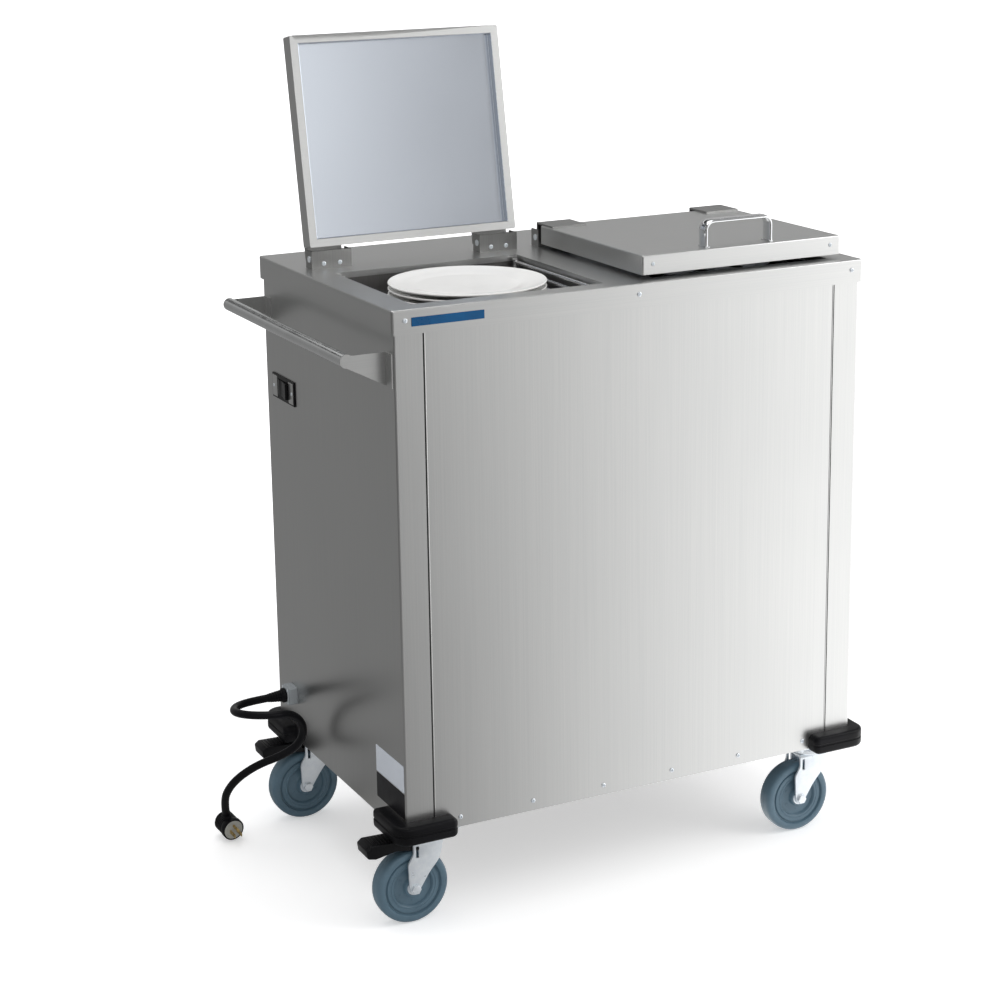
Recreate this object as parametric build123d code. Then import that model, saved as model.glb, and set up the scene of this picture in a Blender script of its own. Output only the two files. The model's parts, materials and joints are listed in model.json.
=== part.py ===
from build123d import *
import math
import os

# Plate dispenser cart: a sheet-steel cabinet on four swivel casters, with two heated wells.
# Millimetres. The modelling frame has X to the right, Y to the rear and Z up, and starts at the
# cabinet's front left bottom corner. The finished solids are shifted as one, so that the origin
# lies under the middle of the cart on the floor.

# ---------------------------------------------------------------- driving dimensions
CABINET_HEIGHT = 865.0
DECK_SHEET = 1.5
DECK_CORNER = 4.0
DECK_EDGE = 2.5
PANEL_SHEET = 1.2
PAN_SHEET = 2.0
APRON_HEIGHT = 39.0
BODY_INSET = 4.5
POST_WIDTH = 49.5
SEAM_GAP = 0.6
LAP_WIDTH = 20.0
PAN_FLANGE = 35.0
PAN_FLANGE_END_GAP = 40.0
PANEL_BEND = 3.0
RUN_CLEARANCE = 0.05
SEAT_GAP = 0.3

# plates, and the wells laid out round them
PLATE_RADIUS = 130.0
WELL_SIDE_ROOM = 39.0
WELL_END_ROOM = 22.5
WELL_PARTITION = 91.0
WELL_SIDE_MARGIN = 50.0
WELL_FRONT_MARGIN = 35.0
WELL_REAR_MARGIN = 223.0
WELL_LIP = 10.0
LINER_BOTTOM = 165.0
LINER_FLANGE = 20.0
LINER_TOP_FLANGE = 12.0

# lids
LID_OUTER_OVERHANG = 21.5
LID_INNER_OVERHANG = 24.5
LID_FRONT_OVERHANG = 8.0
LID_REAR_OVERHANG = 39.0
LID_HEIGHT = 32.0
LID_LIFT = 7.0
LID_RIM = 13.0
LID_RECESS = 12.0
LID_EDGE_RADIUS = 3.0
LID_OPEN_ANGLE = 100.0

# lid handles
BAIL_SPAN = 66.0
BAIL_HEIGHT = 45.0
BAIL_STRAP = 7.0
BAIL_WIDTH = 24.0
BAIL_CORNER = 11.0
BAIL_SETBACK = 24.0

# lid hinges
PIN_SETBACK = 19.0
PIN_HEIGHT = 16.0
PIN_RADIUS = 3.5
PIN_HEAD_RADIUS = 5.5
PIN_HEAD = 1.5
BRACKET_WIDTH = 72.0
BRACKET_HEIGHT = 30.0
BRACKET_FRONT = 10.0
BRACKET_REAR = 16.0
BRACKET_SHEET = 2.0
CHEEK_SHEET = 2.5
STOP_REACH = 20.0
TAB_HEIGHT = 12.0
TAB_SHEET = 2.0
STRAP_SHEET = 3.0
STRAP_SIDE_GAP = 0.5
STRAP_LENGTH = 59.5
BARREL_RADIUS = 5.5
HINGE_SCREW_HEIGHT = 8.5
HINGE_SCREW_SPACING = 29.0

# screws
SCREW_RADIUS = 2.0
SCREW_HEAD_RADIUS = 4.0
SCREW_HEAD = 2.0
SCREW_HEAD_TAPER = 0.8
SCREW_POINT = 2.0
APRON_SCREW_DROP = 17.0
APRON_SCREW_INSET = 22.5
FOOT_SCREW_HEIGHT = 17.0
FOOT_SCREW_INSET = 101.5
FOOT_SCREW_COUNT = 6
BADGE_LEFT = 33.0
BADGE_WIDTH = 124.0
BADGE_HEIGHT = 14.0
BADGE_DROP = 13.0
BADGE_SHEET = 1.0

# push handle on the left end
HANDLE_TUBE_RADIUS = 11.0
HANDLE_TUBE_WALL = 1.5
HANDLE_REACH = 62.0
HANDLE_DROP = 77.0
HANDLE_FRONT_MARGIN = 32.0
HANDLE_REAR_MARGIN = 13.0
GUSSET_SHEET = 2.5
GUSSET_RISE = 8.0
GUSSET_FALL = 46.0
GUSSET_FLANGE = 26.0

# corner bumpers
BUMPER_BOTTOM = -5.0
BUMPER_TOP = 27.0
BUMPER_REACH = 20.0
BUMPER_LEG = 88.0
BUMPER_CORNER = 20.0
BUMPER_END_RADIUS = 9.0
BUMPER_EDGE = 3.0
BUMPER_GROOVE = 3.0
BUMPER_GROOVE_DEPTH = 1.5
BUMPER_GROOVE_END_GAP = 14.0

# casters
CASTER_INSET_X = 58.0
CASTER_INSET_Y = 47.0
CASTER_TRAIL = 31.0
WHEEL_RADIUS = 63.5
WHEEL_WIDTH = 32.0
FLOOR_DROP = 165.0
HUB_RADIUS = 15.0
HUB_FOOT = 2.0
WEB_DEPTH = 6.0
# the rings on a wheel's side: radius, and depth under the tread's side
WHEEL_RINGS = (
    (34.0, 7.0),
    (35.5, 2.5),
    (46.0, 2.5),
    (47.0, 4.5),
    (49.0, 4.5),
    (50.0, 0.5),
)
# the tread's rounded shoulder: steps in from the wheel's radius and from its side
TREAD_SHOULDER = (
    (7.0, 0.0),
    (2.2, 3.5),
    (0.0, 9.0),
)
AXLE_RADIUS = 5.0
AXLE_HEAD = 6.0
AXLE_HEAD_FLATS = 16.0
AXLE_END = 2.0
TOP_PLATE_X = 96.0
TOP_PLATE_Y = 76.0
TOP_PLATE_SHEET = 4.0
TOP_PLATE_BOLT_X = 74.0
TOP_PLATE_BOLT_Y = 56.0
TOP_PLATE_CORNER = 6.0
CASTER_BOLT_RADIUS = 3.5
CASTER_BOLT_HEAD_RADIUS = 6.0
CASTER_BOLT_HEAD = 5.0
CASTER_BOLT_END = 5.0
RACE_RADIUS = 36.0
RACE_NECK_RADIUS = 30.0
RACE_HEIGHT = 15.7
RACE_NECK_HEIGHT = 5.0
RACE_EDGE = 3.0
KINGPIN_RADIUS = 6.0
KINGPIN_NUT_RADIUS = 10.0
KINGPIN_NUT = 7.0
KINGPIN_END = 2.0
FORK_CROWN = 6.0
FORK_SHEET = 4.0
FORK_INNER_HALF = 19.5
FORK_BEND = 3.5
FORK_INNER_BEND = 1.0
FORK_REAR = 33.0
FORK_FRONT = 22.0
FORK_EYE_RADIUS = 10.0
FORK_FRONT_KNEE = (15.0, 31.0)
FORK_REAR_KNEE = (12.0, 38.0)
FORK_REAR_DROP = 21.0
FORK_SLOT_X = -26.0
FORK_SLOT_WIDTH = 5.0
FORK_SLOT_DROPS = (8.0, 23.0)
PEDAL_PIVOT_X = -26.0
PEDAL_PIVOT_DROP = 31.2
PEDAL_PIN_RADIUS = 2.5
PEDAL_BOSS_RADIUS = 4.6
PEDAL_REACH = 114.0
PEDAL_HALF_WIDTH = 21.0
PEDAL_RACE_GAP = 2.0
PEDAL_HEEL_RISE = 17.0
# the pedal's side outline from the pin's height, off its tip and off its neck
PEDAL_TIP_OUTLINE = (
    (8.0, 20.0),
    (0.0, 13.0),
    (2.0, -2.0),
    (16.0, -5.0),
)
PEDAL_SOLE_OUTLINE = (
    (-26.0, 1.0),
    (0.0, -2.0),
)
PEDAL_EDGE = 3.0
PEDAL_NECK_FALL = 3.5
PEDAL_NECK_DROP = 0.6
PEDAL_NECK_LAP = 4.0
PEDAL_PIN_PROUD = 1.5

# lift mechanism in each well
POST_RADIUS = 5.0
POST_SIDE_INSET = 9.0
POST_END_INSET = 10.5
RAIL_RADIUS = 3.0
RAIL_DROPS = (10.0, 24.0, 38.0)
BOTTOM_RAIL_RISE = 20.0
PAD_HALF_HEIGHT = 2.0
END_RAIL_GAP = 1.0
GUIDE_RADIUS = 4.0
PLATE_SIDE_CLEARANCE = 3.0
PLATE_FOOT_RADIUS = 72.0
PLATE_FOOT = 3.0
PLATE_BODY = 6.0
PLATE_RIM_RISE = 7.0
PLATE_FOOT_WIDTH = 6.0
PLATE_RIM_ROUND = 2.0
PLATE_HOLLOW_EDGE = 8.0
PLATE_SLOPE_EDGE = 16.0
PLATE_SLOPE_RISE = 1.5
PLATE_COUNT = 20
STACK_TOP_DROP = 3.0
PLATFORM_SHEET = 2.5
PLATFORM_RISER = 150.0
PLATFORM_TOP_DROP = 12.0
VENT_COUNT = 8
VENT_RADIUS = 12.0
VENT_INSET = 40.0
CARRIER_BAR_X = 8.0
CARRIER_BAR_Z = 12.0
CROSS_BAR_Y = 60.0
BUSH_RADIUS = 8.0
BUSH_HEIGHT = 30.0
SPRING_RADIUS = 7.0
HEATER_RADIUS = 4.5
HEATER_HEIGHT = 60.0
HEATER_SPAN_X = 130.0
HEATER_SPAN_Y = 45.0
HEATER_FOOT = 6.0
HEATER_FOOT_INSET = 20.0
HEATER_FOOT_OVERHANG = 8.0

# controls and cord
SWITCH_REAR_MARGIN = 88.0
SWITCH_DROP = 220.0
BEZEL_Y = 100.0
BEZEL_Z = 43.0
BEZEL_SHEET = 2.5
ROCKER_Y = 50.0
ROCKER_Z = 28.0
ROCKER_GAP = 0.6
ROCKER_PIVOT_DEPTH = 6.0
ROCKER_SWING = 6.0
ROCKER_PIN_RADIUS = 1.5
ROCKER_PROUD = 3.0
ROCKER_BACK = 5.0
ROCKER_HUB_HALF = 6.0
ROCKER_SIDE_ROOM = 1.6
ROCKER_DISH_RADIUS = 60.0
ROCKER_DISH_DEPTH = 1.5
SWITCH_CAN_DEPTH = 26.0
THERMOSTAT_DEPTH = 55.0
THERMOSTAT_Y = 90.0
THERMOSTAT_Z = 90.0
THERMOSTAT_RISE = 30.0
THERMOSTAT_CORNER = 3.0
CORD_RADIUS = 7.0
CORD_ARC_SHARE = 0.45
GLAND_REAR_MARGIN = 80.0
GLAND_Z = 86.0
GLAND_BOX = 32.0
GLAND_CORNER = 4.0
GLAND_BOX_REACH = 18.0
GLAND_NUT_RADIUS = 13.0
GLAND_NUT = 6.0
RELIEF_LENGTH = 26.0
RELIEF_RADIUS = 10.5
SLEEVE_WALL = 0.8
PLUG_RADIUS = 20.0
PLUG_NECK_RADIUS = 12.5
PLUG_NECK = 32.0
PLUG_NECK_WALL = 1.0
PLUG_LENGTH = 44.0
PLUG_EDGE = 5.0
PLUG_HEADING = -85.0
PLUG_TILT = 5.0
BLADE_LENGTH = 20.0
BLADE_WIDTH = 6.5
BLADE_SHEET = 1.6
BLADE_SPREAD = 12.7
BLADE_DROP = 2.0
EARTH_RISE = 8.0
EARTH_RADIUS = 2.4

# ---------------------------------------------------------------- derived places
WELL_WIDTH = 2 * (PLATE_RADIUS + WELL_SIDE_ROOM)
WELL_DEPTH = 2 * (PLATE_RADIUS + WELL_END_ROOM)
CABINET_WIDTH = 2 * (WELL_SIDE_MARGIN + WELL_WIDTH) + WELL_PARTITION
CABINET_DEPTH = WELL_FRONT_MARGIN + WELL_DEPTH + WELL_REAR_MARGIN
DECK_TOP = CABINET_HEIGHT
DECK_UNDERSIDE = DECK_TOP - DECK_SHEET
BODY_LEFT = BODY_INSET
BODY_RIGHT = CABINET_WIDTH - BODY_INSET
BODY_FRONT = BODY_INSET
BODY_REAR = CABINET_DEPTH - BODY_INSET
LEFT_SEAM = BODY_LEFT + POST_WIDTH
RIGHT_SEAM = BODY_RIGHT - POST_WIDTH
MID_X = CABINET_WIDTH / 2
MID_Y = CABINET_DEPTH / 2
FLOOR = -FLOOR_DROP
AXLE_Z = FLOOR + WHEEL_RADIUS

WELL_X = {
    "left": WELL_SIDE_MARGIN + WELL_WIDTH / 2,
    "right": CABINET_WIDTH - WELL_SIDE_MARGIN - WELL_WIDTH / 2,
}
WELL_Y = WELL_FRONT_MARGIN + WELL_DEPTH / 2
LINER_HALF_X = WELL_WIDTH / 2 + DECK_SHEET + SEAT_GAP
LINER_HALF_Y = WELL_DEPTH / 2 + DECK_SHEET + SEAT_GAP
LINER_SHELF = LINER_BOTTOM + PANEL_SHEET

LID_WIDTH = WELL_WIDTH + LID_OUTER_OVERHANG + LID_INNER_OVERHANG
LID_FRONT = WELL_FRONT_MARGIN - LID_FRONT_OVERHANG
LID_REAR = WELL_FRONT_MARGIN + WELL_DEPTH + LID_REAR_OVERHANG
LID_LEFT = {
    "left": WELL_SIDE_MARGIN - LID_OUTER_OVERHANG,
    "right": CABINET_WIDTH - WELL_SIDE_MARGIN + LID_OUTER_OVERHANG - LID_WIDTH,
}
LID_BOTTOM = DECK_TOP + LID_LIFT
LID_TOP = LID_BOTTOM + LID_HEIGHT
PIN_Y = LID_REAR + PIN_SETBACK
PIN_Z = DECK_TOP + PIN_HEIGHT

HANDLE_AXIS_HEIGHT = CABINET_HEIGHT - HANDLE_DROP
HANDLE_FRONT = HANDLE_FRONT_MARGIN
HANDLE_REAR = CABINET_DEPTH - HANDLE_REAR_MARGIN
GUSSET_TOP = HANDLE_AXIS_HEIGHT + GUSSET_RISE
GUSSET_WALL_BOTTOM = HANDLE_AXIS_HEIGHT - GUSSET_FALL

SWITCH_Y = CABINET_DEPTH - SWITCH_REAR_MARGIN
SWITCH_Z = CABINET_HEIGHT - SWITCH_DROP
GLAND_Y = CABINET_DEPTH - GLAND_REAR_MARGIN

CASTER_X = {"left": CASTER_INSET_X, "right": CABINET_WIDTH - CASTER_INSET_X}
CASTER_Y = {"front": CASTER_INSET_Y, "rear": CABINET_DEPTH - CASTER_INSET_Y}
RACE_BOTTOM = -TOP_PLATE_SHEET - RACE_HEIGHT
CROWN_TOP = RACE_BOTTOM - SEAT_GAP
CROWN_BOTTOM = CROWN_TOP - FORK_CROWN
FORK_OUTER_HALF = FORK_INNER_HALF + FORK_SHEET
HUB_HALF = FORK_INNER_HALF - SEAT_GAP

POST_X = WELL_WIDTH / 2 - POST_SIDE_INSET
POST_Y = WELL_DEPTH / 2 - POST_END_INSET
GUIDE_OFFSET = PLATE_RADIUS + PLATE_SIDE_CLEARANCE + GUIDE_RADIUS
PLATE_PITCH = PLATE_FOOT + PLATE_BODY
STACK_HEIGHT = PLATE_COUNT * PLATE_PITCH + PLATE_RIM_RISE
PLATFORM_TOP = {
    "left": DECK_TOP - STACK_TOP_DROP - STACK_HEIGHT,
    "right": DECK_TOP - PLATFORM_TOP_DROP,
}
LOW_RAIL_Z = DECK_TOP - RAIL_DROPS[-1]

# The cord leaves the gland to the left, loops forward and back to the cabinet, turns down and
# runs out to the plug just above the floor. The steps from the gland's sleeve are chosen by hand.
CORD_START = Vector(BODY_LEFT - GLAND_BOX_REACH - GLAND_NUT - RELIEF_LENGTH, GLAND_Y, GLAND_Z)
CORD_STEPS = [
    (0.0, 0.0, 0.0),
    (-40.0, 0.0, 0.0),
    (-73.5, -24.0, 4.0),
    (-86.5, -63.0, 11.0),
    (-73.5, -102.0, 17.0),
    (-40.5, -126.0, 19.0),
    (-2.5, -126.0, 16.0),
    (21.0, -120.0, -14.0),
    (15.0, -108.0, -51.5),
    (-16.5, -94.0, -72.5),
    (-50.5, -77.0, -87.0),
    (-78.5, -58.0, -110.0),
    (-94.5, -39.0, -137.0),
    (-97.5, -20.0, -167.0),
    (-90.0, -5.0, -198.0),
]
CORD_POINTS = [CORD_START + Vector(*step) for step in CORD_STEPS]
PLUG_FACE = CORD_START + Vector(-81.0, -16.2, -228.3)


# ---------------------------------------------------------------- helpers
def block(x, y, z):
    """A box given by its low and high value on each axis."""
    size = Box(x[1] - x[0], y[1] - y[0], z[1] - z[0])
    return Pos((x[0] + x[1]) / 2, (y[0] + y[1]) / 2, (z[0] + z[1]) / 2) * size


def span(centre, half):
    """The low and high value of a range given by its centre and half width."""
    return (centre - half, centre + half)


def rod(start, end, radius):
    """A round bar between two points."""
    start, end = Vector(*start), Vector(*end)
    base = Plane(origin=start, z_dir=end - start)
    return extrude(base * Circle(radius), amount=(end - start).length)


def cone(start, end, start_radius, end_radius):
    """A tapered round bar between two points."""
    start, end = Vector(*start), Vector(*end)
    low = Plane(origin=start, z_dir=end - start) * Circle(start_radius)
    high = Plane(origin=end, z_dir=end - start) * Circle(end_radius)
    return loft([low, high])


def side_plate(points, y):
    """A flat plate cut along an (x, z) outline, between two Y values."""
    outline = Plane.XZ * make_face(Polyline(*points, close=True))
    return Pos(0, y[1], 0) * extrude(outline, amount=y[1] - y[0])


def flat_plate(points, z):
    """A flat plate cut along an (x, y) outline, between two Z values."""
    return Pos(0, 0, z[0]) * extrude(make_face(Polyline(*points, close=True)), amount=z[1] - z[0])


def hex_prism(centre, flats, y):
    """A hexagonal head with its axis along Y."""
    profile = Plane.XZ * RegularPolygon(flats / 2, 6, major_radius=False)
    return Pos(centre[0], y[1], centre[1]) * extrude(profile, amount=y[1] - y[0])


def screw(point, axis, length):
    """A pan-head screw: the point lies on the seat and the axis points out of the head."""
    seat, outward = Vector(*point), Vector(*axis)
    head = cone(seat, seat + outward * SCREW_HEAD, SCREW_HEAD_RADIUS, SCREW_HEAD_RADIUS * SCREW_HEAD_TAPER)
    return head + rod(seat - outward * length, seat, SCREW_RADIUS)


def screw_hole(point, axis, length):
    """The hole that a screw of that length passes through, with a running clearance."""
    seat, outward = Vector(*point), Vector(*axis)
    return rod(seat - outward * length, seat + outward, SCREW_RADIUS + RUN_CLEARANCE)


def mirror_x(shape):
    """The same shape on the other end of the cabinet."""
    return Pos(CABINET_WIDTH, 0, 0) * mirror(shape, about=Plane.YZ)


def mirror_y(shape):
    """The same shape on the other side, front to rear."""
    return Pos(0, CABINET_DEPTH, 0) * mirror(shape, about=Plane.XZ)


# ---------------------------------------------------------------- cabinet
def apron_screws():
    """Seats of the screws in the front apron."""
    height = DECK_TOP - APRON_SCREW_DROP
    places = (APRON_SCREW_INSET, MID_X, CABINET_WIDTH - APRON_SCREW_INSET)
    return [((x, 0.0, height), (0, -1, 0), BODY_FRONT + PANEL_SHEET + SCREW_POINT) for x in places]


def foot_screws():
    """Seats of the screws along the foot of the front panel."""
    run = CABINET_WIDTH - 2 * FOOT_SCREW_INSET
    step = run / (FOOT_SCREW_COUNT - 1)
    places = [FOOT_SCREW_INSET + step * i for i in range(FOOT_SCREW_COUNT)]
    length = PANEL_SHEET + DECK_SHEET + 2 * SCREW_POINT
    return [((x, BODY_FRONT, FOOT_SCREW_HEIGHT), (0, -1, 0), length) for x in places]


def drilled(shape, seats):
    """The shape with a hole for each screw seat."""
    for seat in seats:
        shape -= screw_hole(*seat)
    return shape


def bracket_lefts(side):
    """The left edges of the two hinge brackets of one lid."""
    left = LID_LEFT[side]
    return (left, left + LID_WIDTH - BRACKET_WIDTH)


def hinge_screw_seats():
    """Seats of the two screws in the front plate of each hinge bracket."""
    front = PIN_Y - BRACKET_FRONT
    seats = []
    for side in ("left", "right"):
        for left in bracket_lefts(side):
            for way in (-1, 1):
                x = left + BRACKET_WIDTH / 2 + way * HINGE_SCREW_SPACING / 2
                place = (x, front, DECK_TOP + HINGE_SCREW_HEIGHT)
                seats.append((place, (0, -1, 0), BRACKET_SHEET + TAB_SHEET + SCREW_POINT))
    return seats


def top_deck():
    """Pressed deck: a tray turned upside down, with two lipped openings and four hinge tabs."""
    low = DECK_TOP - APRON_HEIGHT
    tray = block((0, CABINET_WIDTH), (0, CABINET_DEPTH), (low, DECK_TOP))
    tray = fillet(tray.edges().filter_by(Axis.Z), DECK_CORNER)
    tray = fillet(tray.faces().sort_by(Axis.Z)[-1].edges(), DECK_EDGE)
    inside = (DECK_SHEET, CABINET_WIDTH - DECK_SHEET), (DECK_SHEET, CABINET_DEPTH - DECK_SHEET)
    hollow = block(*inside, (low + DECK_SHEET, DECK_UNDERSIDE))
    hem_hole = block((BODY_LEFT, BODY_RIGHT), (BODY_FRONT, BODY_REAR), (low, low + DECK_SHEET))
    deck = tray - hollow - hem_hole
    for x in WELL_X.values():
        half_x, half_y = WELL_WIDTH / 2, WELL_DEPTH / 2
        lip = block(
            span(x, half_x + DECK_SHEET), span(WELL_Y, half_y + DECK_SHEET),
            (DECK_TOP - WELL_LIP, DECK_UNDERSIDE)
        )
        opening = block(span(x, half_x), span(WELL_Y, half_y), (DECK_TOP - WELL_LIP, DECK_TOP))
        deck = deck + lip - opening
    tab_front = PIN_Y - BRACKET_FRONT + BRACKET_SHEET
    for side in ("left", "right"):
        for left in bracket_lefts(side):
            inner = CHEEK_SHEET + STRAP_SIDE_GAP
            tab_x = (left + inner, left + BRACKET_WIDTH - inner)
            deck += block(tab_x, (tab_front, tab_front + TAB_SHEET), (DECK_UNDERSIDE, DECK_TOP + TAB_HEIGHT))
    return [drilled(deck, apron_screws() + hinge_screw_seats())]


def end_panel():
    """End panel at the left, wrapped round both corners as posts, with laps behind front and rear panels."""
    rise = (0, DECK_UNDERSIDE)
    seam = LEFT_SEAM - SEAM_GAP
    sheet = PANEL_SHEET
    outline = block((BODY_LEFT, seam), (BODY_FRONT, BODY_REAR), rise)
    outline = fillet(outline.edges().filter_by(Axis.Z).sort_by(Axis.X)[:2], PANEL_BEND)
    inside = block((BODY_LEFT + sheet, seam + 1), (BODY_FRONT + sheet, BODY_REAR - sheet), rise)
    inside = fillet(inside.edges().filter_by(Axis.Z).sort_by(Axis.X)[:2], PANEL_BEND - sheet)
    lap_y = (BODY_FRONT + sheet, BODY_FRONT + 2 * sheet)
    lap = block((seam - sheet * 3, seam + LAP_WIDTH), lap_y, rise)
    return outline - inside + lap + mirror_y(lap)


def left_end_panel():
    """The end panel with openings for the switch and the cord gland."""
    cut_x = (BODY_LEFT - 1, BODY_LEFT + 2 * PANEL_SHEET)
    cut_y = span(SWITCH_Y, ROCKER_Y / 2 + 2 * ROCKER_GAP + DECK_SHEET)
    cut_z = span(SWITCH_Z, ROCKER_Z / 2 + 2 * ROCKER_GAP + DECK_SHEET)
    stem = rod((cut_x[0], GLAND_Y, GLAND_Z), (cut_x[1], GLAND_Y, GLAND_Z), GLAND_NUT_RADIUS)
    return [drilled(end_panel() - block(cut_x, cut_y, cut_z) - stem, apron_screws())]


def right_end_panel():
    """The plain end panel, at the other end."""
    return [drilled(mirror_x(end_panel()), apron_screws())]


def front_panel():
    """Flat panel between the two seams."""
    panel = block((LEFT_SEAM, RIGHT_SEAM), (BODY_FRONT, BODY_FRONT + PANEL_SHEET), (0, DECK_UNDERSIDE))
    return [drilled(panel, foot_screws() + apron_screws())]


def rear_panel():
    """Flat panel between the two rear seams."""
    return [block((LEFT_SEAM, RIGHT_SEAM), (BODY_REAR - PANEL_SHEET, BODY_REAR), (0, DECK_UNDERSIDE))]


def bottom_pan():
    """Floor of the cabinet with upturned flanges inside each panel."""
    sheet = PANEL_SHEET
    floor_x = (BODY_LEFT + sheet, BODY_RIGHT - sheet)
    floor_y = (BODY_FRONT + 2 * sheet, BODY_REAR - 2 * sheet)
    pan = block(floor_x, floor_y, (0, PAN_SHEET))
    flange_x = (LEFT_SEAM + PAN_FLANGE_END_GAP, RIGHT_SEAM - PAN_FLANGE_END_GAP)
    front = block(flange_x, (BODY_FRONT + sheet, BODY_FRONT + sheet + DECK_SHEET), (0, PAN_FLANGE))
    end_y = (BODY_FRONT + PAN_FLANGE_END_GAP, BODY_REAR - PAN_FLANGE_END_GAP)
    end = block((floor_x[0], floor_x[0] + DECK_SHEET), end_y, (0, PAN_FLANGE))
    pan = pan + front + mirror_y(front) + end + mirror_x(end)
    for caster_x in CASTER_X.values():
        for caster_y in CASTER_Y.values():
            for bolt_x, bolt_y in caster_bolt_places(caster_x, caster_y):
                pan -= rod((bolt_x, bolt_y, -1), (bolt_x, bolt_y, PAN_SHEET + 1),
                           CASTER_BOLT_RADIUS + RUN_CLEARANCE)
    return [drilled(pan, foot_screws())]


def cabinet_screws():
    """Screws of the apron and of the front panel's foot."""
    return [screw(*seat) for seat in apron_screws() + foot_screws()]


def badge_plate():
    """Bare plate on the front apron."""
    top = DECK_TOP - BADGE_DROP
    return [block((BADGE_LEFT, BADGE_LEFT + BADGE_WIDTH), (-BADGE_SHEET, 0), (top - BADGE_HEIGHT, top))]


def corner_bumper():
    """Moulded L-shaped bumper round the front left corner, with a groove along its outside."""
    outer, inner, end = -BUMPER_REACH, BODY_LEFT, BUMPER_LEG
    outline = [(outer, outer), (end, outer), (end, inner), (inner, inner), (inner, end), (outer, end)]
    body = flat_plate(outline, (BUMPER_BOTTOM, BUMPER_TOP))
    for x, y, radius in ((end, outer, BUMPER_END_RADIUS), (outer, end, BUMPER_END_RADIUS),
                         (outer, outer, BUMPER_CORNER)):
        upright = body.edges().filter_by(Axis.Z).sort_by_distance(Vector(x, y, BUMPER_TOP))[0]
        body = fillet(upright, radius)
    bend = body.edges().filter_by(Axis.Z).sort_by_distance(Vector(inner, inner, BUMPER_TOP))[0]
    body = fillet(bend, PANEL_BEND)
    rim = body.faces().sort_by(Axis.Z)[0].edges() + body.faces().sort_by(Axis.Z)[-1].edges()
    body = fillet([edge for edge in rim if is_outside_edge(edge, inner, end)], BUMPER_EDGE)
    middle = (BUMPER_BOTTOM + BUMPER_TOP) / 2
    past, stop, floor = outer - BUMPER_EDGE, end - BUMPER_GROOVE_END_GAP, outer + BUMPER_GROOVE_DEPTH
    turn = floor + BUMPER_CORNER
    ring = [(past, past), (stop, past), (stop, floor), (turn, floor), (floor, turn), (floor, stop),
            (past, stop)]
    return body - flat_plate(ring, span(middle, BUMPER_GROOVE / 2))


def is_outside_edge(edge, inner, end):
    """True for a rim edge on a bumper's outside, but not across a leg's end."""
    centre = edge.center()
    across_end = abs(centre.X - end) < SEAT_GAP or abs(centre.Y - end) < SEAT_GAP
    return (centre.X < inner - 1 or centre.Y < inner - 1) and not across_end


def push_handle_bar():
    """Round tube between the two gussets."""
    ends = (HANDLE_FRONT + GUSSET_SHEET, HANDLE_REAR - GUSSET_SHEET)
    tube = rod((-HANDLE_REACH, ends[0], HANDLE_AXIS_HEIGHT), (-HANDLE_REACH, ends[1], HANDLE_AXIS_HEIGHT),
               HANDLE_TUBE_RADIUS)
    bore = rod((-HANDLE_REACH, ends[0] - 1, HANDLE_AXIS_HEIGHT),
               (-HANDLE_REACH, ends[1] + 1, HANDLE_AXIS_HEIGHT),
               HANDLE_TUBE_RADIUS - HANDLE_TUBE_WALL)
    return [tube - bore]


def push_handle_brackets():
    """Two sheet gussets, each with a flange on the end panel."""
    brackets = []
    outline = [
        (BODY_LEFT, GUSSET_TOP),
        (-HANDLE_REACH, GUSSET_TOP),
        (-HANDLE_REACH, HANDLE_AXIS_HEIGHT - HANDLE_TUBE_RADIUS),
        (BODY_LEFT, GUSSET_WALL_BOTTOM),
    ]
    for low_y in (HANDLE_FRONT, HANDLE_REAR - GUSSET_SHEET):
        y = (low_y, low_y + GUSSET_SHEET)
        web = side_plate(outline, y)
        web += rod((-HANDLE_REACH, y[0], HANDLE_AXIS_HEIGHT), (-HANDLE_REACH, y[1], HANDLE_AXIS_HEIGHT),
                   HANDLE_TUBE_RADIUS)
        flange = block((BODY_LEFT - GUSSET_SHEET, BODY_LEFT), (y[1] - GUSSET_FLANGE, y[1]),
                       (GUSSET_WALL_BOTTOM, GUSSET_TOP))
        brackets.append(web + flange)
    return brackets


# ---------------------------------------------------------------- lids and hinges
def lid_shell(side):
    """Outer skin of a closed lid: top, four skirts and an inturned rim."""
    left = LID_LEFT[side]
    x = (left, left + LID_WIDTH)
    y = (LID_FRONT, LID_REAR)
    skin = block(x, y, (LID_BOTTOM, LID_TOP))
    skin = fillet(skin.edges().filter_by(Axis.Z), LID_EDGE_RADIUS)
    skin = fillet(skin.faces().sort_by(Axis.Z)[-1].edges(), LID_EDGE_RADIUS * 0.8)
    inner_x = (x[0] + DECK_SHEET, x[1] - DECK_SHEET)
    inner_y = (y[0] + DECK_SHEET, y[1] - DECK_SHEET)
    skin -= block(inner_x, inner_y, (LID_BOTTOM + DECK_SHEET, LID_TOP - DECK_SHEET))
    mouth_x = (x[0] + LID_RIM, x[1] - LID_RIM)
    mouth_y = (y[0] + LID_RIM, y[1] - LID_RIM)
    return skin - block(mouth_x, mouth_y, (LID_BOTTOM, LID_BOTTOM + DECK_SHEET))


def lid_liner(side):
    """Inner pan of a closed lid, set into the rim."""
    left = LID_LEFT[side]
    x = (left + LID_RIM, left + LID_WIDTH - LID_RIM)
    y = (LID_FRONT + LID_RIM, LID_REAR - LID_RIM)
    panel_z = LID_BOTTOM + LID_RECESS
    pan = block(x, y, (LID_BOTTOM, panel_z + PANEL_SHEET))
    inner_x = (x[0] + PANEL_SHEET, x[1] - PANEL_SHEET)
    inner_y = (y[0] + PANEL_SHEET, y[1] - PANEL_SHEET)
    return pan - block(inner_x, inner_y, (LID_BOTTOM, panel_z))


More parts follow.
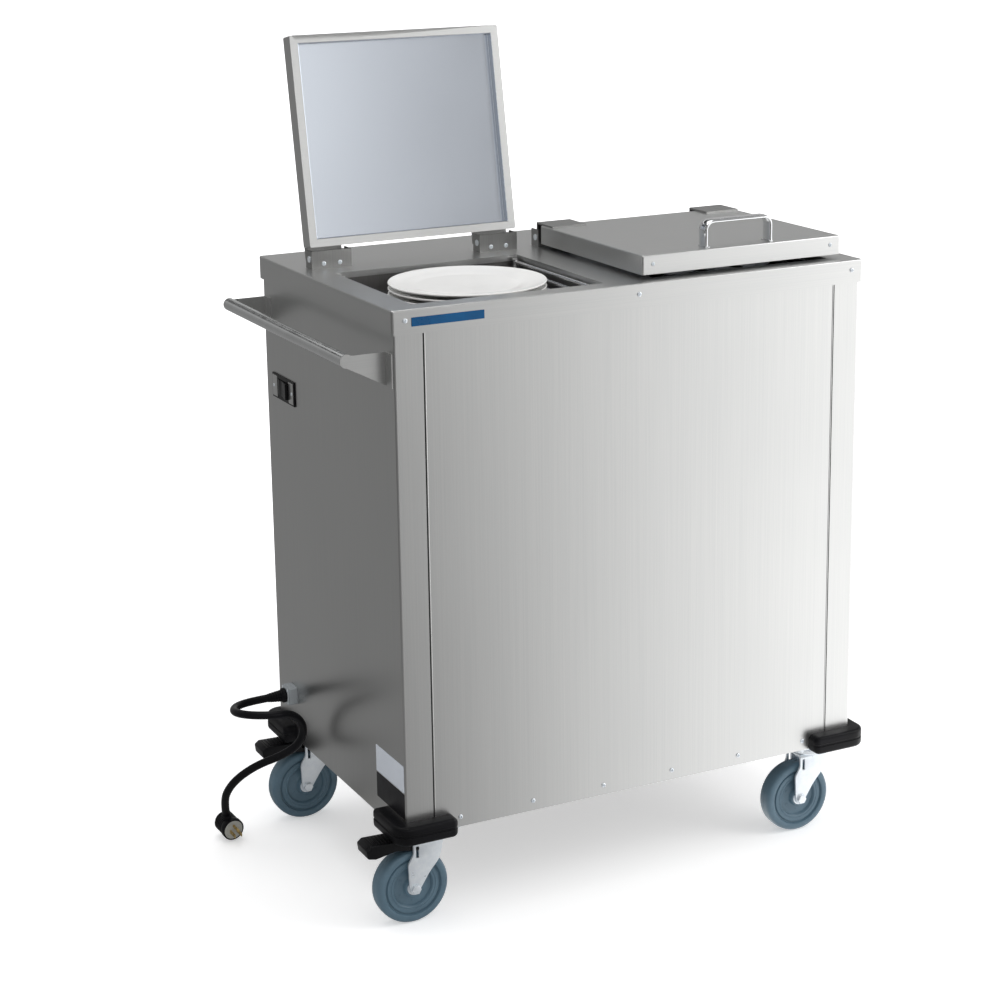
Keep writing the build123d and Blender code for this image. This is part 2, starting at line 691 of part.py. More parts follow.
def lid_handle(side):
    """Chrome strap bail standing on the lid near its front edge."""
    middle = LID_LEFT[side] + LID_WIDTH / 2
    y = span(LID_FRONT + BAIL_SETBACK, BAIL_WIDTH / 2)
    low = LID_TOP - 2 * BAIL_CORNER
    outer = RectangleRounded(2 * BAIL_SPAN, LID_TOP + BAIL_HEIGHT - low, BAIL_CORNER)
    inner_radius = BAIL_CORNER - BAIL_STRAP
    inner = RectangleRounded(2 * (BAIL_SPAN - BAIL_STRAP), LID_TOP + BAIL_HEIGHT - low - 2 * BAIL_STRAP,
                             inner_radius)
    bail = extrude(Plane.XZ * (outer - inner), amount=BAIL_WIDTH)
    bail = Pos(middle, y[1], (low + LID_TOP + BAIL_HEIGHT) / 2) * bail
    below = block(span(middle, 2 * BAIL_SPAN), (y[0] - 1, y[1] + 1), (low - 1, LID_TOP))
    return bail - below


def lid_strap(left):
    """Hinge strap: it lies on the lid, turns down behind it and ends in a barrel round the pin."""
    x = (left + CHEEK_SHEET + STRAP_SIDE_GAP, left + BRACKET_WIDTH - CHEEK_SHEET - STRAP_SIDE_GAP)
    rear = PIN_Y + STRAP_SHEET / 2
    leaf = block(x, (rear - STRAP_LENGTH, rear), (LID_TOP, LID_TOP + STRAP_SHEET))
    web = block(x, (rear - STRAP_SHEET, rear), (PIN_Z, LID_TOP + STRAP_SHEET))
    barrel = rod((x[0], PIN_Y, PIN_Z), (x[1], PIN_Y, PIN_Z), BARREL_RADIUS)
    bore = rod((x[0] - 1, PIN_Y, PIN_Z), (x[1] + 1, PIN_Y, PIN_Z), PIN_RADIUS + RUN_CLEARANCE)
    return leaf + web + barrel - bore


def lid_straps(side):
    """The two hinge straps of one lid."""
    return [lid_strap(left) for left in bracket_lefts(side)]


def open_lid(shape):
    """A closed lid's piece, turned to where the open lid leans on its stop."""
    turn = Pos(0, PIN_Y, PIN_Z) * Rot(-LID_OPEN_ANGLE, 0, 0) * Pos(0, -PIN_Y, -PIN_Z)
    return turn * shape


def stop_top():
    """Height of the stop lip, just under the web of a strap that is fully open."""
    angle = math.radians(LID_OPEN_ANGLE)
    along = (STOP_REACH + math.cos(angle) * STRAP_SHEET / 2) / math.sin(angle)
    drop = math.sin(angle) * STRAP_SHEET / 2 - math.cos(angle) * along
    return PIN_Z - drop - SEAT_GAP


def hinge_bracket(left):
    """Bracket on the deck: front plate, two cheeks that carry the pin, base and stop lip."""
    x = (left, left + BRACKET_WIDTH)
    inner_x = (x[0] + CHEEK_SHEET, x[1] - CHEEK_SHEET)
    front, rear = PIN_Y - BRACKET_FRONT, PIN_Y + BRACKET_REAR
    rise = (DECK_TOP, DECK_TOP + BRACKET_HEIGHT)
    body = block(x, (front, front + BRACKET_SHEET), rise)
    for cheek_x in ((x[0], inner_x[0]), (inner_x[1], x[1])):
        body += block(cheek_x, (front, rear), rise)
    base_front = front + BRACKET_SHEET + TAB_SHEET
    body += block(inner_x, (base_front, PIN_Y + STOP_REACH), (DECK_TOP, DECK_TOP + BRACKET_SHEET))
    lip_x = (inner_x[0] + STRAP_SIDE_GAP, inner_x[1] - STRAP_SIDE_GAP)
    body += block(lip_x, (PIN_Y + STOP_REACH - BRACKET_SHEET, PIN_Y + STOP_REACH), (DECK_TOP, stop_top()))
    bore = rod((x[0] - 1, PIN_Y, PIN_Z), (x[1] + 1, PIN_Y, PIN_Z), PIN_RADIUS + RUN_CLEARANCE)
    return drilled(body - bore, hinge_screw_seats())


def hinge_brackets(side):
    """The two hinge brackets of one lid."""
    return [hinge_bracket(left) for left in bracket_lefts(side)]


def hinge_pins(side):
    """Headed hinge pins through the brackets' cheeks."""
    pins = []
    for left in bracket_lefts(side):
        x = (left, left + BRACKET_WIDTH)
        pin = rod((x[0] - PIN_HEAD, PIN_Y, PIN_Z), (x[1] + PIN_HEAD, PIN_Y, PIN_Z), PIN_RADIUS)
        pin += rod((x[0] - PIN_HEAD, PIN_Y, PIN_Z), (x[0], PIN_Y, PIN_Z), PIN_HEAD_RADIUS)
        pin += rod((x[1], PIN_Y, PIN_Z), (x[1] + PIN_HEAD, PIN_Y, PIN_Z), PIN_HEAD_RADIUS)
        pins.append(pin)
    return pins


def hinge_screws():
    """Screws through the bracket fronts into the deck's tabs."""
    return [screw(*seat) for seat in hinge_screw_seats()]


# ---------------------------------------------------------------- wells
def well_liner(side):
    """Sheet box that hangs from the deck, open at the top, with an inturned shelf at the foot."""
    x, y = WELL_X[side], WELL_Y
    sheet = PANEL_SHEET
    rise = (LINER_BOTTOM, DECK_UNDERSIDE)
    tube = block(span(x, LINER_HALF_X + sheet), span(y, LINER_HALF_Y + sheet), rise)
    flange_z = (DECK_UNDERSIDE - sheet, DECK_UNDERSIDE)
    flange_y = (y - LINER_HALF_Y - LINER_TOP_FLANGE, y + LINER_HALF_Y + LINER_TOP_FLANGE)
    tube += block(span(x, LINER_HALF_X + LINER_TOP_FLANGE), flange_y, flange_z)
    tube -= block(span(x, LINER_HALF_X), span(y, LINER_HALF_Y), (LINER_SHELF, DECK_UNDERSIDE))
    hole_x = span(x, LINER_HALF_X - LINER_FLANGE)
    hole_y = span(y, LINER_HALF_Y - LINER_FLANGE)
    return [tube - block(hole_x, hole_y, (LINER_BOTTOM, LINER_SHELF))]


def dispenser_frame(side):
    """Wire frame in a well: corner posts, side rails, end rails under them and plate guides."""
    x, y = WELL_X[side], WELL_Y
    bottom_rail = LINER_SHELF + BOTTOM_RAIL_RISE
    post_z = (LINER_SHELF, DECK_TOP - RAIL_DROPS[0] + POST_RADIUS)
    guide_z = (LINER_SHELF, LOW_RAIL_Z)
    frame = None
    for way_x in (-1, 1):
        for way_y in (-1, 1):
            place = (x + way_x * POST_X, y + way_y * POST_Y)
            post = rod((*place, post_z[0]), (*place, post_z[1]), POST_RADIUS)
            frame = post if frame is None else frame + post
    for guide_x, guide_y in ((1, 0), (-1, 0), (0, 1), (0, -1)):
        place = (x + guide_x * GUIDE_OFFSET, y + guide_y * GUIDE_OFFSET)
        frame += rod((*place, guide_z[0]), (*place, guide_z[1]), GUIDE_RADIUS)
    for way in (-1, 1):
        side_x, side_y = x + way * POST_X, y + way * POST_Y
        for rail_z in [DECK_TOP - drop for drop in RAIL_DROPS] + [bottom_rail]:
            frame += rod((side_x, y - POST_Y, rail_z), (side_x, y + POST_Y, rail_z), RAIL_RADIUS)
        for rail_z in (LOW_RAIL_Z, bottom_rail):
            low = rail_z - 2 * RAIL_RADIUS - END_RAIL_GAP
            frame += rod((x - POST_X, side_y, low), (x + POST_X, side_y, low), RAIL_RADIUS)
            tie_x = x + way * GUIDE_OFFSET
            tie = sorted((tie_x, side_x + way * END_RAIL_GAP))
            frame += block(tie, span(y, RAIL_RADIUS), (low - END_RAIL_GAP, rail_z))
        pad_x = sorted((side_x, x + way * LINER_HALF_X))
        for pad_y in (y - CROSS_BAR_Y, y + CROSS_BAR_Y):
            frame += block(pad_x, span(pad_y, RAIL_RADIUS), span(DECK_TOP - RAIL_DROPS[1], PAD_HALF_HEIGHT))
    return [frame]


def carrier_top(side):
    """Height of the carrier bars' upper face."""
    return PLATFORM_TOP[side] - PLATFORM_SHEET - PLATFORM_RISER


def platform(side):
    """Plate platform on its riser, with a carrier that slides on the four posts."""
    x, y = WELL_X[side], WELL_Y
    high = PLATFORM_TOP[side]
    bar_top = carrier_top(side)
    bar_z = (bar_top - CARRIER_BAR_Z, bar_top)
    body = Pos(x, y, high - PLATFORM_SHEET / 2) * Cylinder(PLATE_RADIUS, PLATFORM_SHEET)
    for i in range(VENT_COUNT):
        angle = 2 * math.pi * (i + 0.5) / VENT_COUNT
        reach = PLATE_RADIUS - VENT_INSET
        vent = (x + reach * math.cos(angle), y + reach * math.sin(angle))
        body -= rod((*vent, high - PLATFORM_SHEET - 1), (*vent, high + 1), VENT_RADIUS)
    for way_x in (-1, 1):
        side_x = x + way_x * POST_X
        body += block(span(side_x, CARRIER_BAR_X / 2), span(y, POST_Y), bar_z)
        for way_y in (-1, 1):
            place = (side_x, y + way_y * POST_Y)
            body += rod((*place, bar_top - BUSH_HEIGHT), (*place, bar_top), BUSH_RADIUS)
            leg = (x + way_x * CROSS_BAR_Y, y + way_y * CROSS_BAR_Y)
            body += rod((*leg, bar_top), (*leg, high - PLATFORM_SHEET / 2), GUIDE_RADIUS)
    for way_y in (-1, 1):
        body += block(span(x, POST_X), span(y + way_y * CROSS_BAR_Y, CARRIER_BAR_X / 2), bar_z)
    for way_x in (-1, 1):
        for way_y in (-1, 1):
            place = (x + way_x * POST_X, y + way_y * POST_Y)
            body -= rod((*place, bar_top - BUSH_HEIGHT - 1), (*place, bar_top + 1),
                        POST_RADIUS + RUN_CLEARANCE)
    return [body]


def lift_springs(side):
    """Extension springs between the lowest side rails and the carrier, as plain tubes."""
    x, y = WELL_X[side], WELL_Y
    z = (carrier_top(side) + SEAT_GAP, LOW_RAIL_Z - RAIL_RADIUS - SEAT_GAP)
    springs = []
    for way_x in (-1, 1):
        for way_y in (-1, 1):
            place = (x + way_x * POST_X, y + way_y * CROSS_BAR_Y)
            springs.append(rod((*place, z[0]), (*place, z[1]), SPRING_RADIUS))
    return springs


def plate(x, y, foot):
    """Round dinner plate standing on its foot ring."""
    body = PLATE_FOOT + PLATE_BODY
    rim = body + PLATE_RIM_RISE
    profile = [
        (0, PLATE_FOOT),
        (PLATE_FOOT_RADIUS - PLATE_FOOT_WIDTH, PLATE_FOOT),
        (PLATE_FOOT_RADIUS - PLATE_FOOT_WIDTH, 0),
        (PLATE_FOOT_RADIUS, 0),
        (PLATE_FOOT_RADIUS + PLATE_FOOT_WIDTH, PLATE_FOOT),
        (PLATE_RADIUS - PLATE_RIM_ROUND / 2, rim - 2 * PLATE_RIM_ROUND),
        (PLATE_RADIUS, rim - PLATE_RIM_ROUND),
        (PLATE_RADIUS - PLATE_RIM_ROUND, rim),
        (PLATE_FOOT_RADIUS + PLATE_SLOPE_EDGE, body + PLATE_SLOPE_RISE),
        (PLATE_FOOT_RADIUS + PLATE_HOLLOW_EDGE, body),
        (0, body),
    ]
    section = Plane.XZ * make_face(Polyline(*profile, close=True))
    return Pos(x, y, foot) * revolve(section, axis=Axis.Z)


def plate_stack():
    """Plates on the left platform, each standing on the one below."""
    x, base = WELL_X["left"], PLATFORM_TOP["left"]
    return [plate(x, WELL_Y, base + PLATE_PITCH * i) for i in range(PLATE_COUNT)]


def heating_elements():
    """A hairpin heater on two feet under each well."""
    heaters = []
    for x in WELL_X.values():
        ends = (x - HEATER_SPAN_X, x + HEATER_SPAN_X)
        heater = None
        for way in (-1, 1):
            arm_y = WELL_Y + way * HEATER_SPAN_Y
            arm = rod((ends[0], arm_y, HEATER_HEIGHT), (ends[1], arm_y, HEATER_HEIGHT), HEATER_RADIUS)
            heater = arm if heater is None else heater + arm
        bend_path = Plane.XY.offset(HEATER_HEIGHT) * CenterArc((ends[1], WELL_Y), HEATER_SPAN_Y, -90, 180)
        bend_start = Plane(origin=(ends[1], WELL_Y - HEATER_SPAN_Y, HEATER_HEIGHT), z_dir=(1, 0, 0))
        heater += sweep(bend_start * Circle(HEATER_RADIUS), path=bend_path)
        for foot_x in (ends[0] + HEATER_FOOT_INSET, ends[1] - HEATER_FOOT_INSET):
            foot_y = span(WELL_Y, HEATER_SPAN_Y + HEATER_FOOT_OVERHANG)
            heater += block(span(foot_x, HEATER_FOOT / 2), foot_y, (PAN_SHEET, HEATER_HEIGHT))
        heaters.append(heater)
    return heaters


# ---------------------------------------------------------------- casters
def caster_bolt_places(caster_x, caster_y):
    """The four bolts of one caster's top plate."""
    places = []
    for way_x in (-1, 1):
        for way_y in (-1, 1):
            places.append((caster_x + way_x * TOP_PLATE_BOLT_X / 2, caster_y + way_y * TOP_PLATE_BOLT_Y / 2))
    return places


def caster_top_plate(caster_x, caster_y):
    """Top plate with its race and the kingpin, whose nut holds the fork."""
    plate_x, plate_y = span(caster_x, TOP_PLATE_X / 2), span(caster_y, TOP_PLATE_Y / 2)
    body = block(plate_x, plate_y, (-TOP_PLATE_SHEET, 0))
    body = fillet(body.edges().filter_by(Axis.Z), TOP_PLATE_CORNER)
    shoulder = -TOP_PLATE_SHEET - RACE_NECK_HEIGHT
    body += rod((caster_x, caster_y, shoulder), (caster_x, caster_y, -TOP_PLATE_SHEET), RACE_NECK_RADIUS)
    race = rod((caster_x, caster_y, RACE_BOTTOM), (caster_x, caster_y, shoulder), RACE_RADIUS)
    body += fillet(race.edges(), RACE_EDGE)
    nut_z = (CROWN_BOTTOM - SEAT_GAP - KINGPIN_NUT, CROWN_BOTTOM - SEAT_GAP)
    body += rod((caster_x, caster_y, nut_z[0] - KINGPIN_END), (caster_x, caster_y, RACE_BOTTOM),
                KINGPIN_RADIUS)
    body += rod((caster_x, caster_y, nut_z[0]), (caster_x, caster_y, nut_z[1]), KINGPIN_NUT_RADIUS)
    for bolt_x, bolt_y in caster_bolt_places(caster_x, caster_y):
        body -= rod((bolt_x, bolt_y, -TOP_PLATE_SHEET - 1), (bolt_x, bolt_y, 1),
                    CASTER_BOLT_RADIUS + RUN_CLEARANCE)
    return body


def caster_bolts():
    """Bolts of the four top plates."""
    bolts = []
    for caster_x in CASTER_X.values():
        for caster_y in CASTER_Y.values():
            for x, y in caster_bolt_places(caster_x, caster_y):
                low = -TOP_PLATE_SHEET
                bolt = rod((x, y, low - CASTER_BOLT_HEAD), (x, y, low), CASTER_BOLT_HEAD_RADIUS)
                bolts.append(bolt + rod((x, y, low), (x, y, PAN_SHEET + CASTER_BOLT_END), CASTER_BOLT_RADIUS))
    return bolts


def caster_fork(caster_x, caster_y, braked):
    """Pressed fork: a crown under the race and two legs down to the axle."""
    axle_x = caster_x - CASTER_TRAIL
    rear, front = caster_x - FORK_REAR, caster_x + FORK_FRONT
    outline = [
        (rear, CROWN_TOP),
        (front, CROWN_TOP),
        (caster_x + FORK_FRONT_KNEE[0], CROWN_TOP - FORK_FRONT_KNEE[1]),
        (axle_x + FORK_EYE_RADIUS, AXLE_Z),
        (axle_x - FORK_EYE_RADIUS, AXLE_Z),
        (axle_x - FORK_REAR_KNEE[0], CROWN_TOP - FORK_REAR_KNEE[1]),
        (rear, CROWN_TOP - FORK_REAR_DROP),
    ]
    fork = side_plate(outline, span(caster_y, FORK_OUTER_HALF))
    inside_x = (axle_x - 2 * FORK_EYE_RADIUS, front + 1)
    inside = block(inside_x, span(caster_y, FORK_INNER_HALF), (AXLE_Z - 1, CROWN_BOTTOM))
    fork -= fillet(inside.edges().filter_by(Axis.X).sort_by(Axis.Z)[-2:], FORK_INNER_BEND)
    fork = fillet(fork.faces().sort_by(Axis.Z)[-1].edges().filter_by(Axis.X), FORK_BEND)
    for way in (-1, 1):
        leg_y = sorted((caster_y + way * FORK_INNER_HALF, caster_y + way * FORK_OUTER_HALF))
        fork += rod((axle_x, leg_y[0], AXLE_Z), (axle_x, leg_y[1], AXLE_Z), FORK_EYE_RADIUS)
        if not braked:
            slot_z = (CROWN_TOP - FORK_SLOT_DROPS[1], CROWN_TOP - FORK_SLOT_DROPS[0])
            slot_x = span(caster_x + FORK_SLOT_X, FORK_SLOT_WIDTH / 2)
            fork -= block(slot_x, (leg_y[0] - 1, leg_y[1] + 1), slot_z)
    fork -= rod((axle_x, caster_y - FORK_OUTER_HALF - 1, AXLE_Z),
                (axle_x, caster_y + FORK_OUTER_HALF + 1, AXLE_Z),
                AXLE_RADIUS + RUN_CLEARANCE)
    fork -= rod((caster_x, caster_y, CROWN_BOTTOM - 1), (caster_x, caster_y, CROWN_TOP + 1),
                KINGPIN_RADIUS + RUN_CLEARANCE)
    if braked:
        pivot = (caster_x + PEDAL_PIVOT_X, -PEDAL_PIVOT_DROP)
        fork -= rod((pivot[0], caster_y - FORK_OUTER_HALF - 1, pivot[1]),
                    (pivot[0], caster_y + FORK_OUTER_HALF + 1, pivot[1]), PEDAL_PIN_RADIUS + RUN_CLEARANCE)
    return fork


def caster_axle(caster_x, caster_y):
    """Axle bolt with a hexagonal head and a nut outside the fork's legs."""
    axle_x = caster_x - CASTER_TRAIL
    y = (caster_y - FORK_OUTER_HALF, caster_y + FORK_OUTER_HALF)
    far_end = y[1] + AXLE_HEAD + AXLE_END
    bolt = rod((axle_x, y[0] - AXLE_HEAD, AXLE_Z), (axle_x, far_end, AXLE_Z), AXLE_RADIUS)
    bolt += hex_prism((axle_x, AXLE_Z), AXLE_HEAD_FLATS, (y[0] - AXLE_HEAD, y[0]))
    bolt += hex_prism((axle_x, AXLE_Z), AXLE_HEAD_FLATS, (y[1], y[1] + AXLE_HEAD))
    return bolt


def caster_wheel(caster_x, caster_y):
    """Wheel with a long hub, a dished web, a ringed core and a rounded tread."""
    half = WHEEL_WIDTH / 2
    bore = AXLE_RADIUS + RUN_CLEARANCE
    side = [
        (bore, HUB_HALF),
        (HUB_RADIUS, HUB_HALF),
        (HUB_RADIUS + HUB_FOOT, half - WEB_DEPTH),
    ]
    side += [(radius, half - depth) for radius, depth in WHEEL_RINGS]
    side += [(WHEEL_RADIUS - inward, half - depth) for inward, depth in TREAD_SHOULDER]
    other = [(radius, -reach) for radius, reach in reversed(side)]
    section = Plane.XY * make_face(Polyline(*side, *other, close=True))
    return Pos(caster_x - CASTER_TRAIL, caster_y, AXLE_Z) * revolve(section, axis=Axis.Y)


def brake_pedal(caster_x, caster_y):
    """Foot pedal on a cross pin between the fork's legs, reaching out past the wheel."""
    pivot_x, pivot_z = caster_x + PEDAL_PIVOT_X, -PEDAL_PIVOT_DROP
    tip = caster_x - PEDAL_REACH
    inner_half = FORK_INNER_HALF - SEAT_GAP
    neck_x = caster_x - RACE_RADIUS - PEDAL_RACE_GAP
    outline = [(neck_x, pivot_z + PEDAL_HEEL_RISE)]
    outline += [(tip + x, pivot_z + z) for x, z in PEDAL_TIP_OUTLINE]
    outline += [(neck_x + x, pivot_z + z) for x, z in PEDAL_SOLE_OUTLINE]
    pad = side_plate(outline, span(caster_y, PEDAL_HALF_WIDTH))
    pad = fillet(pad.edges().filter_by(Axis.Y).sort_by(Axis.X)[:4], PEDAL_EDGE)
    neck_z = (pivot_z - PEDAL_NECK_FALL, pivot_z + PEDAL_BOSS_RADIUS - PEDAL_NECK_DROP)
    neck = block((neck_x - PEDAL_NECK_LAP, pivot_x), span(caster_y, inner_half), neck_z)
    boss = rod((pivot_x, caster_y - inner_half, pivot_z), (pivot_x, caster_y + inner_half, pivot_z),
               PEDAL_BOSS_RADIUS)
    bore = rod((pivot_x, caster_y - inner_half - 1, pivot_z), (pivot_x, caster_y + inner_half + 1, pivot_z),
               PEDAL_PIN_RADIUS + RUN_CLEARANCE)
    pin_y = span(caster_y, FORK_OUTER_HALF + PEDAL_PIN_PROUD)
    pin = rod((pivot_x, pin_y[0], pivot_z), (pivot_x, pin_y[1], pivot_z), PEDAL_PIN_RADIUS)
    return [pad + neck + boss - bore, pin]


# ---------------------------------------------------------------- controls and cord
def switch_bezel():
    """Bezel plate with the switch can behind it and the rocker's pivot pin."""
    face = BODY_LEFT
    half_y, half_z = ROCKER_Y / 2 + ROCKER_GAP, ROCKER_Z / 2 + ROCKER_GAP
    body = block((face - BEZEL_SHEET, face), span(SWITCH_Y, BEZEL_Y / 2), span(SWITCH_Z, BEZEL_Z / 2))
    can_x = (face, face + SWITCH_CAN_DEPTH)
    body += block(can_x, span(SWITCH_Y, half_y + DECK_SHEET), span(SWITCH_Z, half_z + DECK_SHEET))
    body -= block((face - BEZEL_SHEET, can_x[1] - DECK_SHEET), span(SWITCH_Y, half_y), span(SWITCH_Z, half_z))
    pivot_x = face + ROCKER_PIVOT_DEPTH
    body += rod((pivot_x, SWITCH_Y, SWITCH_Z - half_z), (pivot_x, SWITCH_Y, SWITCH_Z + half_z),
                ROCKER_PIN_RADIUS)
    return [body]


def rocker_switch():
    """Rocker with a hollow curved face on the bezel's pin, tipped to one side."""
    face = BODY_LEFT
    pivot_x = face + ROCKER_PIVOT_DEPTH
    outer, inner = face - BEZEL_SHEET - ROCKER_PROUD, pivot_x + ROCKER_BACK
    rise = span(SWITCH_Z, ROCKER_Z / 2)
    body = block((outer, inner), span(SWITCH_Y, ROCKER_Y / 2 - ROCKER_SIDE_ROOM), rise)
    dish_x = outer + ROCKER_DISH_DEPTH - ROCKER_DISH_RADIUS
    dish = rod((dish_x, SWITCH_Y, rise[0] - 1), (dish_x, SWITCH_Y, rise[1] + 1), ROCKER_DISH_RADIUS)
    back = block((pivot_x, inner + 1), span(SWITCH_Y, ROCKER_Y), (rise[0] - 1, rise[1] + 1))
    back -= block((pivot_x - 1, inner + 2), span(SWITCH_Y, ROCKER_HUB_HALF), (rise[0] - 2, rise[1] + 2))
    bore = rod((pivot_x, SWITCH_Y, rise[0] - 1), (pivot_x, SWITCH_Y, rise[1] + 1),
               ROCKER_PIN_RADIUS + RUN_CLEARANCE)
    tip = Pos(pivot_x, SWITCH_Y, 0) * Rot(0, 0, -ROCKER_SWING) * Pos(-pivot_x, -SWITCH_Y, 0)
    return [tip * (body - dish - back - bore)]


def thermostat():
    """Thermostat housing inside the left end, above the gland."""
    inner = BODY_LEFT + PANEL_SHEET
    low = GLAND_Z + THERMOSTAT_RISE
    box = block((inner, inner + THERMOSTAT_DEPTH), span(GLAND_Y, THERMOSTAT_Y / 2), (low, low + THERMOSTAT_Z))
    return [fillet(box.edges().filter_by(Axis.X), THERMOSTAT_CORNER)]


def cord_gland():
    """Box on the end panel, gland nut and tapered sleeve; a back nut clamps them to the sheet."""
    face = BODY_LEFT
    body = block((face - GLAND_BOX_REACH, face), span(GLAND_Y, GLAND_BOX / 2), span(GLAND_Z, GLAND_BOX / 2))
    body = fillet(body.edges().filter_by(Axis.X), GLAND_CORNER)
    centre = (GLAND_Y, GLAND_Z)
    nut_x = face - GLAND_BOX_REACH - GLAND_NUT
    body += rod((nut_x, *centre), (face - GLAND_BOX_REACH, *centre), GLAND_NUT_RADIUS)
    back = face + PANEL_SHEET + GLAND_NUT
    body += rod((face, *centre), (back, *centre), GLAND_NUT_RADIUS - RUN_CLEARANCE)
    sleeve = cone((nut_x, *centre), (nut_x - RELIEF_LENGTH, *centre), RELIEF_RADIUS,
                  CORD_RADIUS + SLEEVE_WALL)
    return [body, sleeve]


def power_cord():
    """The cord's free length: straight runs joined by tangent arcs."""
    points = CORD_POINTS
    runs = [(b - a) for a, b in zip(points, points[1:])]
    radii = []
    for before, after in zip(runs, runs[1:]):
        turn = math.radians(before.get_angle(after))
        radii.append(CORD_ARC_SHARE * min(before.length, after.length) / math.tan(turn / 2))
    path = FilletPolyline(*points, radius=radii)
    start = Plane(origin=points[0], z_dir=runs[0])
    tube = sweep(start * Circle(CORD_RADIUS), path=path)
    section = math.pi * CORD_RADIUS**2
    print("cord runs", [round(run.length, 1) for run in runs])
    print("cord radii", [round(radius, 1) for radius in radii])
    print("cord length", round(path.length, 1), "volume ratio",
          round(tube.volume / (section * path.length), 4))
    return [tube]


def plug_axes():
    """The plug's directions: out of its face, across it and up it."""
    heading, tilt = math.radians(PLUG_HEADING), math.radians(PLUG_TILT)
    axis = Vector(math.cos(heading) * math.cos(tilt), math.sin(heading) * math.cos(tilt), -math.sin(tilt))
    across = axis.cross(Vector(0, 0, 1)).normalized()
    return axis, across, across.cross(axis).normalized()


def plug_body():
    """Moulded plug: a round body, and a neck that goes on in the cord's last direction."""
    axis, _, _ = plug_axes()
    face, cord_end = PLUG_FACE, CORD_POINTS[-1]
    along = (cord_end - CORD_POINTS[-2]).normalized()
    body = rod(face - axis * PLUG_LENGTH, face, PLUG_RADIUS)
    back_edge = body.edges().filter_by(GeomType.CIRCLE).sort_by_distance(face - axis * PLUG_LENGTH)[0]
    body = fillet(back_edge, PLUG_EDGE)
    neck = cone(cord_end, cord_end + along * PLUG_NECK, CORD_RADIUS + PLUG_NECK_WALL, PLUG_NECK_RADIUS)
    return [body + neck]


def plug_blades():
    """Two flat blades and a round earth pin on the plug's face."""
    axis, across, up = plug_axes()
    face = PLUG_FACE
    pieces = []
    for way in (-1, 1):
        place = face + across * (way * BLADE_SPREAD / 2) - up * BLADE_DROP
        section = Plane(origin=place, x_dir=across, z_dir=axis) * Rectangle(BLADE_SHEET, BLADE_WIDTH)
        pieces.append(extrude(section, amount=BLADE_LENGTH))
    earth = face + up * EARTH_RISE
    pieces.append(rod(earth, earth + axis * BLADE_LENGTH, EARTH_RADIUS))
    return pieces


# ---------------------------------------------------------------- assembly
def build_nodes():
    """Every node's solids, in the modelling frame."""
    nodes = {
        "top_deck": top_deck(),
        "left_end_panel": left_end_panel(),
        "right_end_panel": right_end_panel(),
        "front_panel": front_panel(),
        "rear_panel": rear_panel(),
        "bottom_pan": bottom_pan(),
        "cabinet_screws": cabinet_screws(),
        "badge_plate": badge_plate(),
        "push_handle_bar": push_handle_bar(),
        "push_handle_brackets": push_handle_brackets(),
        "hinge_screws": hinge_screws(),
        "left_plate_stack": plate_stack(),
        "heating_elements": heating_elements(),
        "caster_bolts": caster_bolts(),
        "switch_bezel": switch_bezel(),
        "rocker_switch": rocker_switch(),
        "thermostat": thermostat(),
        "cord_gland": cord_gland(),
        "power_cord": power_cord(),
        "plug_body": plug_body(),
        "plug_blades": plug_blades(),
    }
    front_left = corner_bumper()
    nodes["front_left_bumper"] = [front_left]
    nodes["front_right_bumper"] = [mirror_x(front_left)]
    nodes["rear_left_bumper"] = [mirror_y(front_left)]
    nodes["rear_right_bumper"] = [mirror_x(mirror_y(front_left))]
    for side in ("left", "right"):
        place = open_lid if side == "left" else (lambda shape: shape)
        nodes[f"{side}_lid_shell"] = [place(lid_shell(side))]
        nodes[f"{side}_lid_liner"] = [place(lid_liner(side))]
        nodes[f"{side}_lid_handle"] = [place(lid_handle(side))]
        nodes[f"{side}_lid_straps"] = [place(strap) for strap in lid_straps(side)]
        nodes[f"{side}_hinge_brackets"] = hinge_brackets(side)
        nodes[f"{side}_hinge_pins"] = hinge_pins(side)
        nodes[f"{side}_well_liner"] = well_liner(side)
        nodes[f"{side}_dispenser_frame"] = dispenser_frame(side)
        nodes[f"{side}_platform"] = platform(side)
        nodes[f"{side}_lift_springs"] = lift_springs(side)
    top_plates = []
    for end, caster_y in CASTER_Y.items():
        for side, caster_x in CASTER_X.items():
            braked = side == "left"
            name = f"{end}_{side}"
            top_plates.append(caster_top_plate(caster_x, caster_y))
            nodes[f"{name}_caster_fork"] = [caster_fork(caster_x, caster_y, braked)]
            nodes[f"{name}_caster_axle"] = [caster_axle(caster_x, caster_y)]
            nodes[f"{name}_caster_wheel"] = [caster_wheel(caster_x, caster_y)]
            if braked:
                nodes[f"{name}_brake_pedal"] = brake_pedal(caster_x, caster_y)
    nodes["caster_top_plates"] = top_plates
    return nodes


CORD_NODES = ("power_cord", "plug_body", "plug_blades")


def origin_shift(nodes):
    """The shift that puts the middle of the cart's footprint, without the cord, at the origin."""
    solids = [solid for name, shapes in nodes.items() if name not in CORD_NODES for solid in shapes]
    reach = Compound(children=[solid for shape in solids for solid in shape.solids()]).bounding_box()
    return Vector(-(reach.min.X + reach.max.X) / 2, -(reach.min.Y + reach.max.Y) / 2, -reach.min.Z)


def main():
    """Build every node, shift it into the part's frame and write one file for each."""
    os.makedirs("parts", exist_ok=True)
    nodes = build_nodes()
    shift = origin_shift(nodes)
    print("origin shift", [round(value, 3) for value in (shift.X, shift.Y, shift.Z)])
    for name, shapes in nodes.items():
        solids = [solid for shape in shapes for solid in shape.solids()]
        placed = Compound(children=[Location(shift) * solid for solid in solids])
        export_step(placed, f"parts/{name}.step")
    return nodes, shift


NODES, SHIFT = main()
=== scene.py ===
import json
import math

import bmesh
import bpy
from mathutils import Matrix, Vector

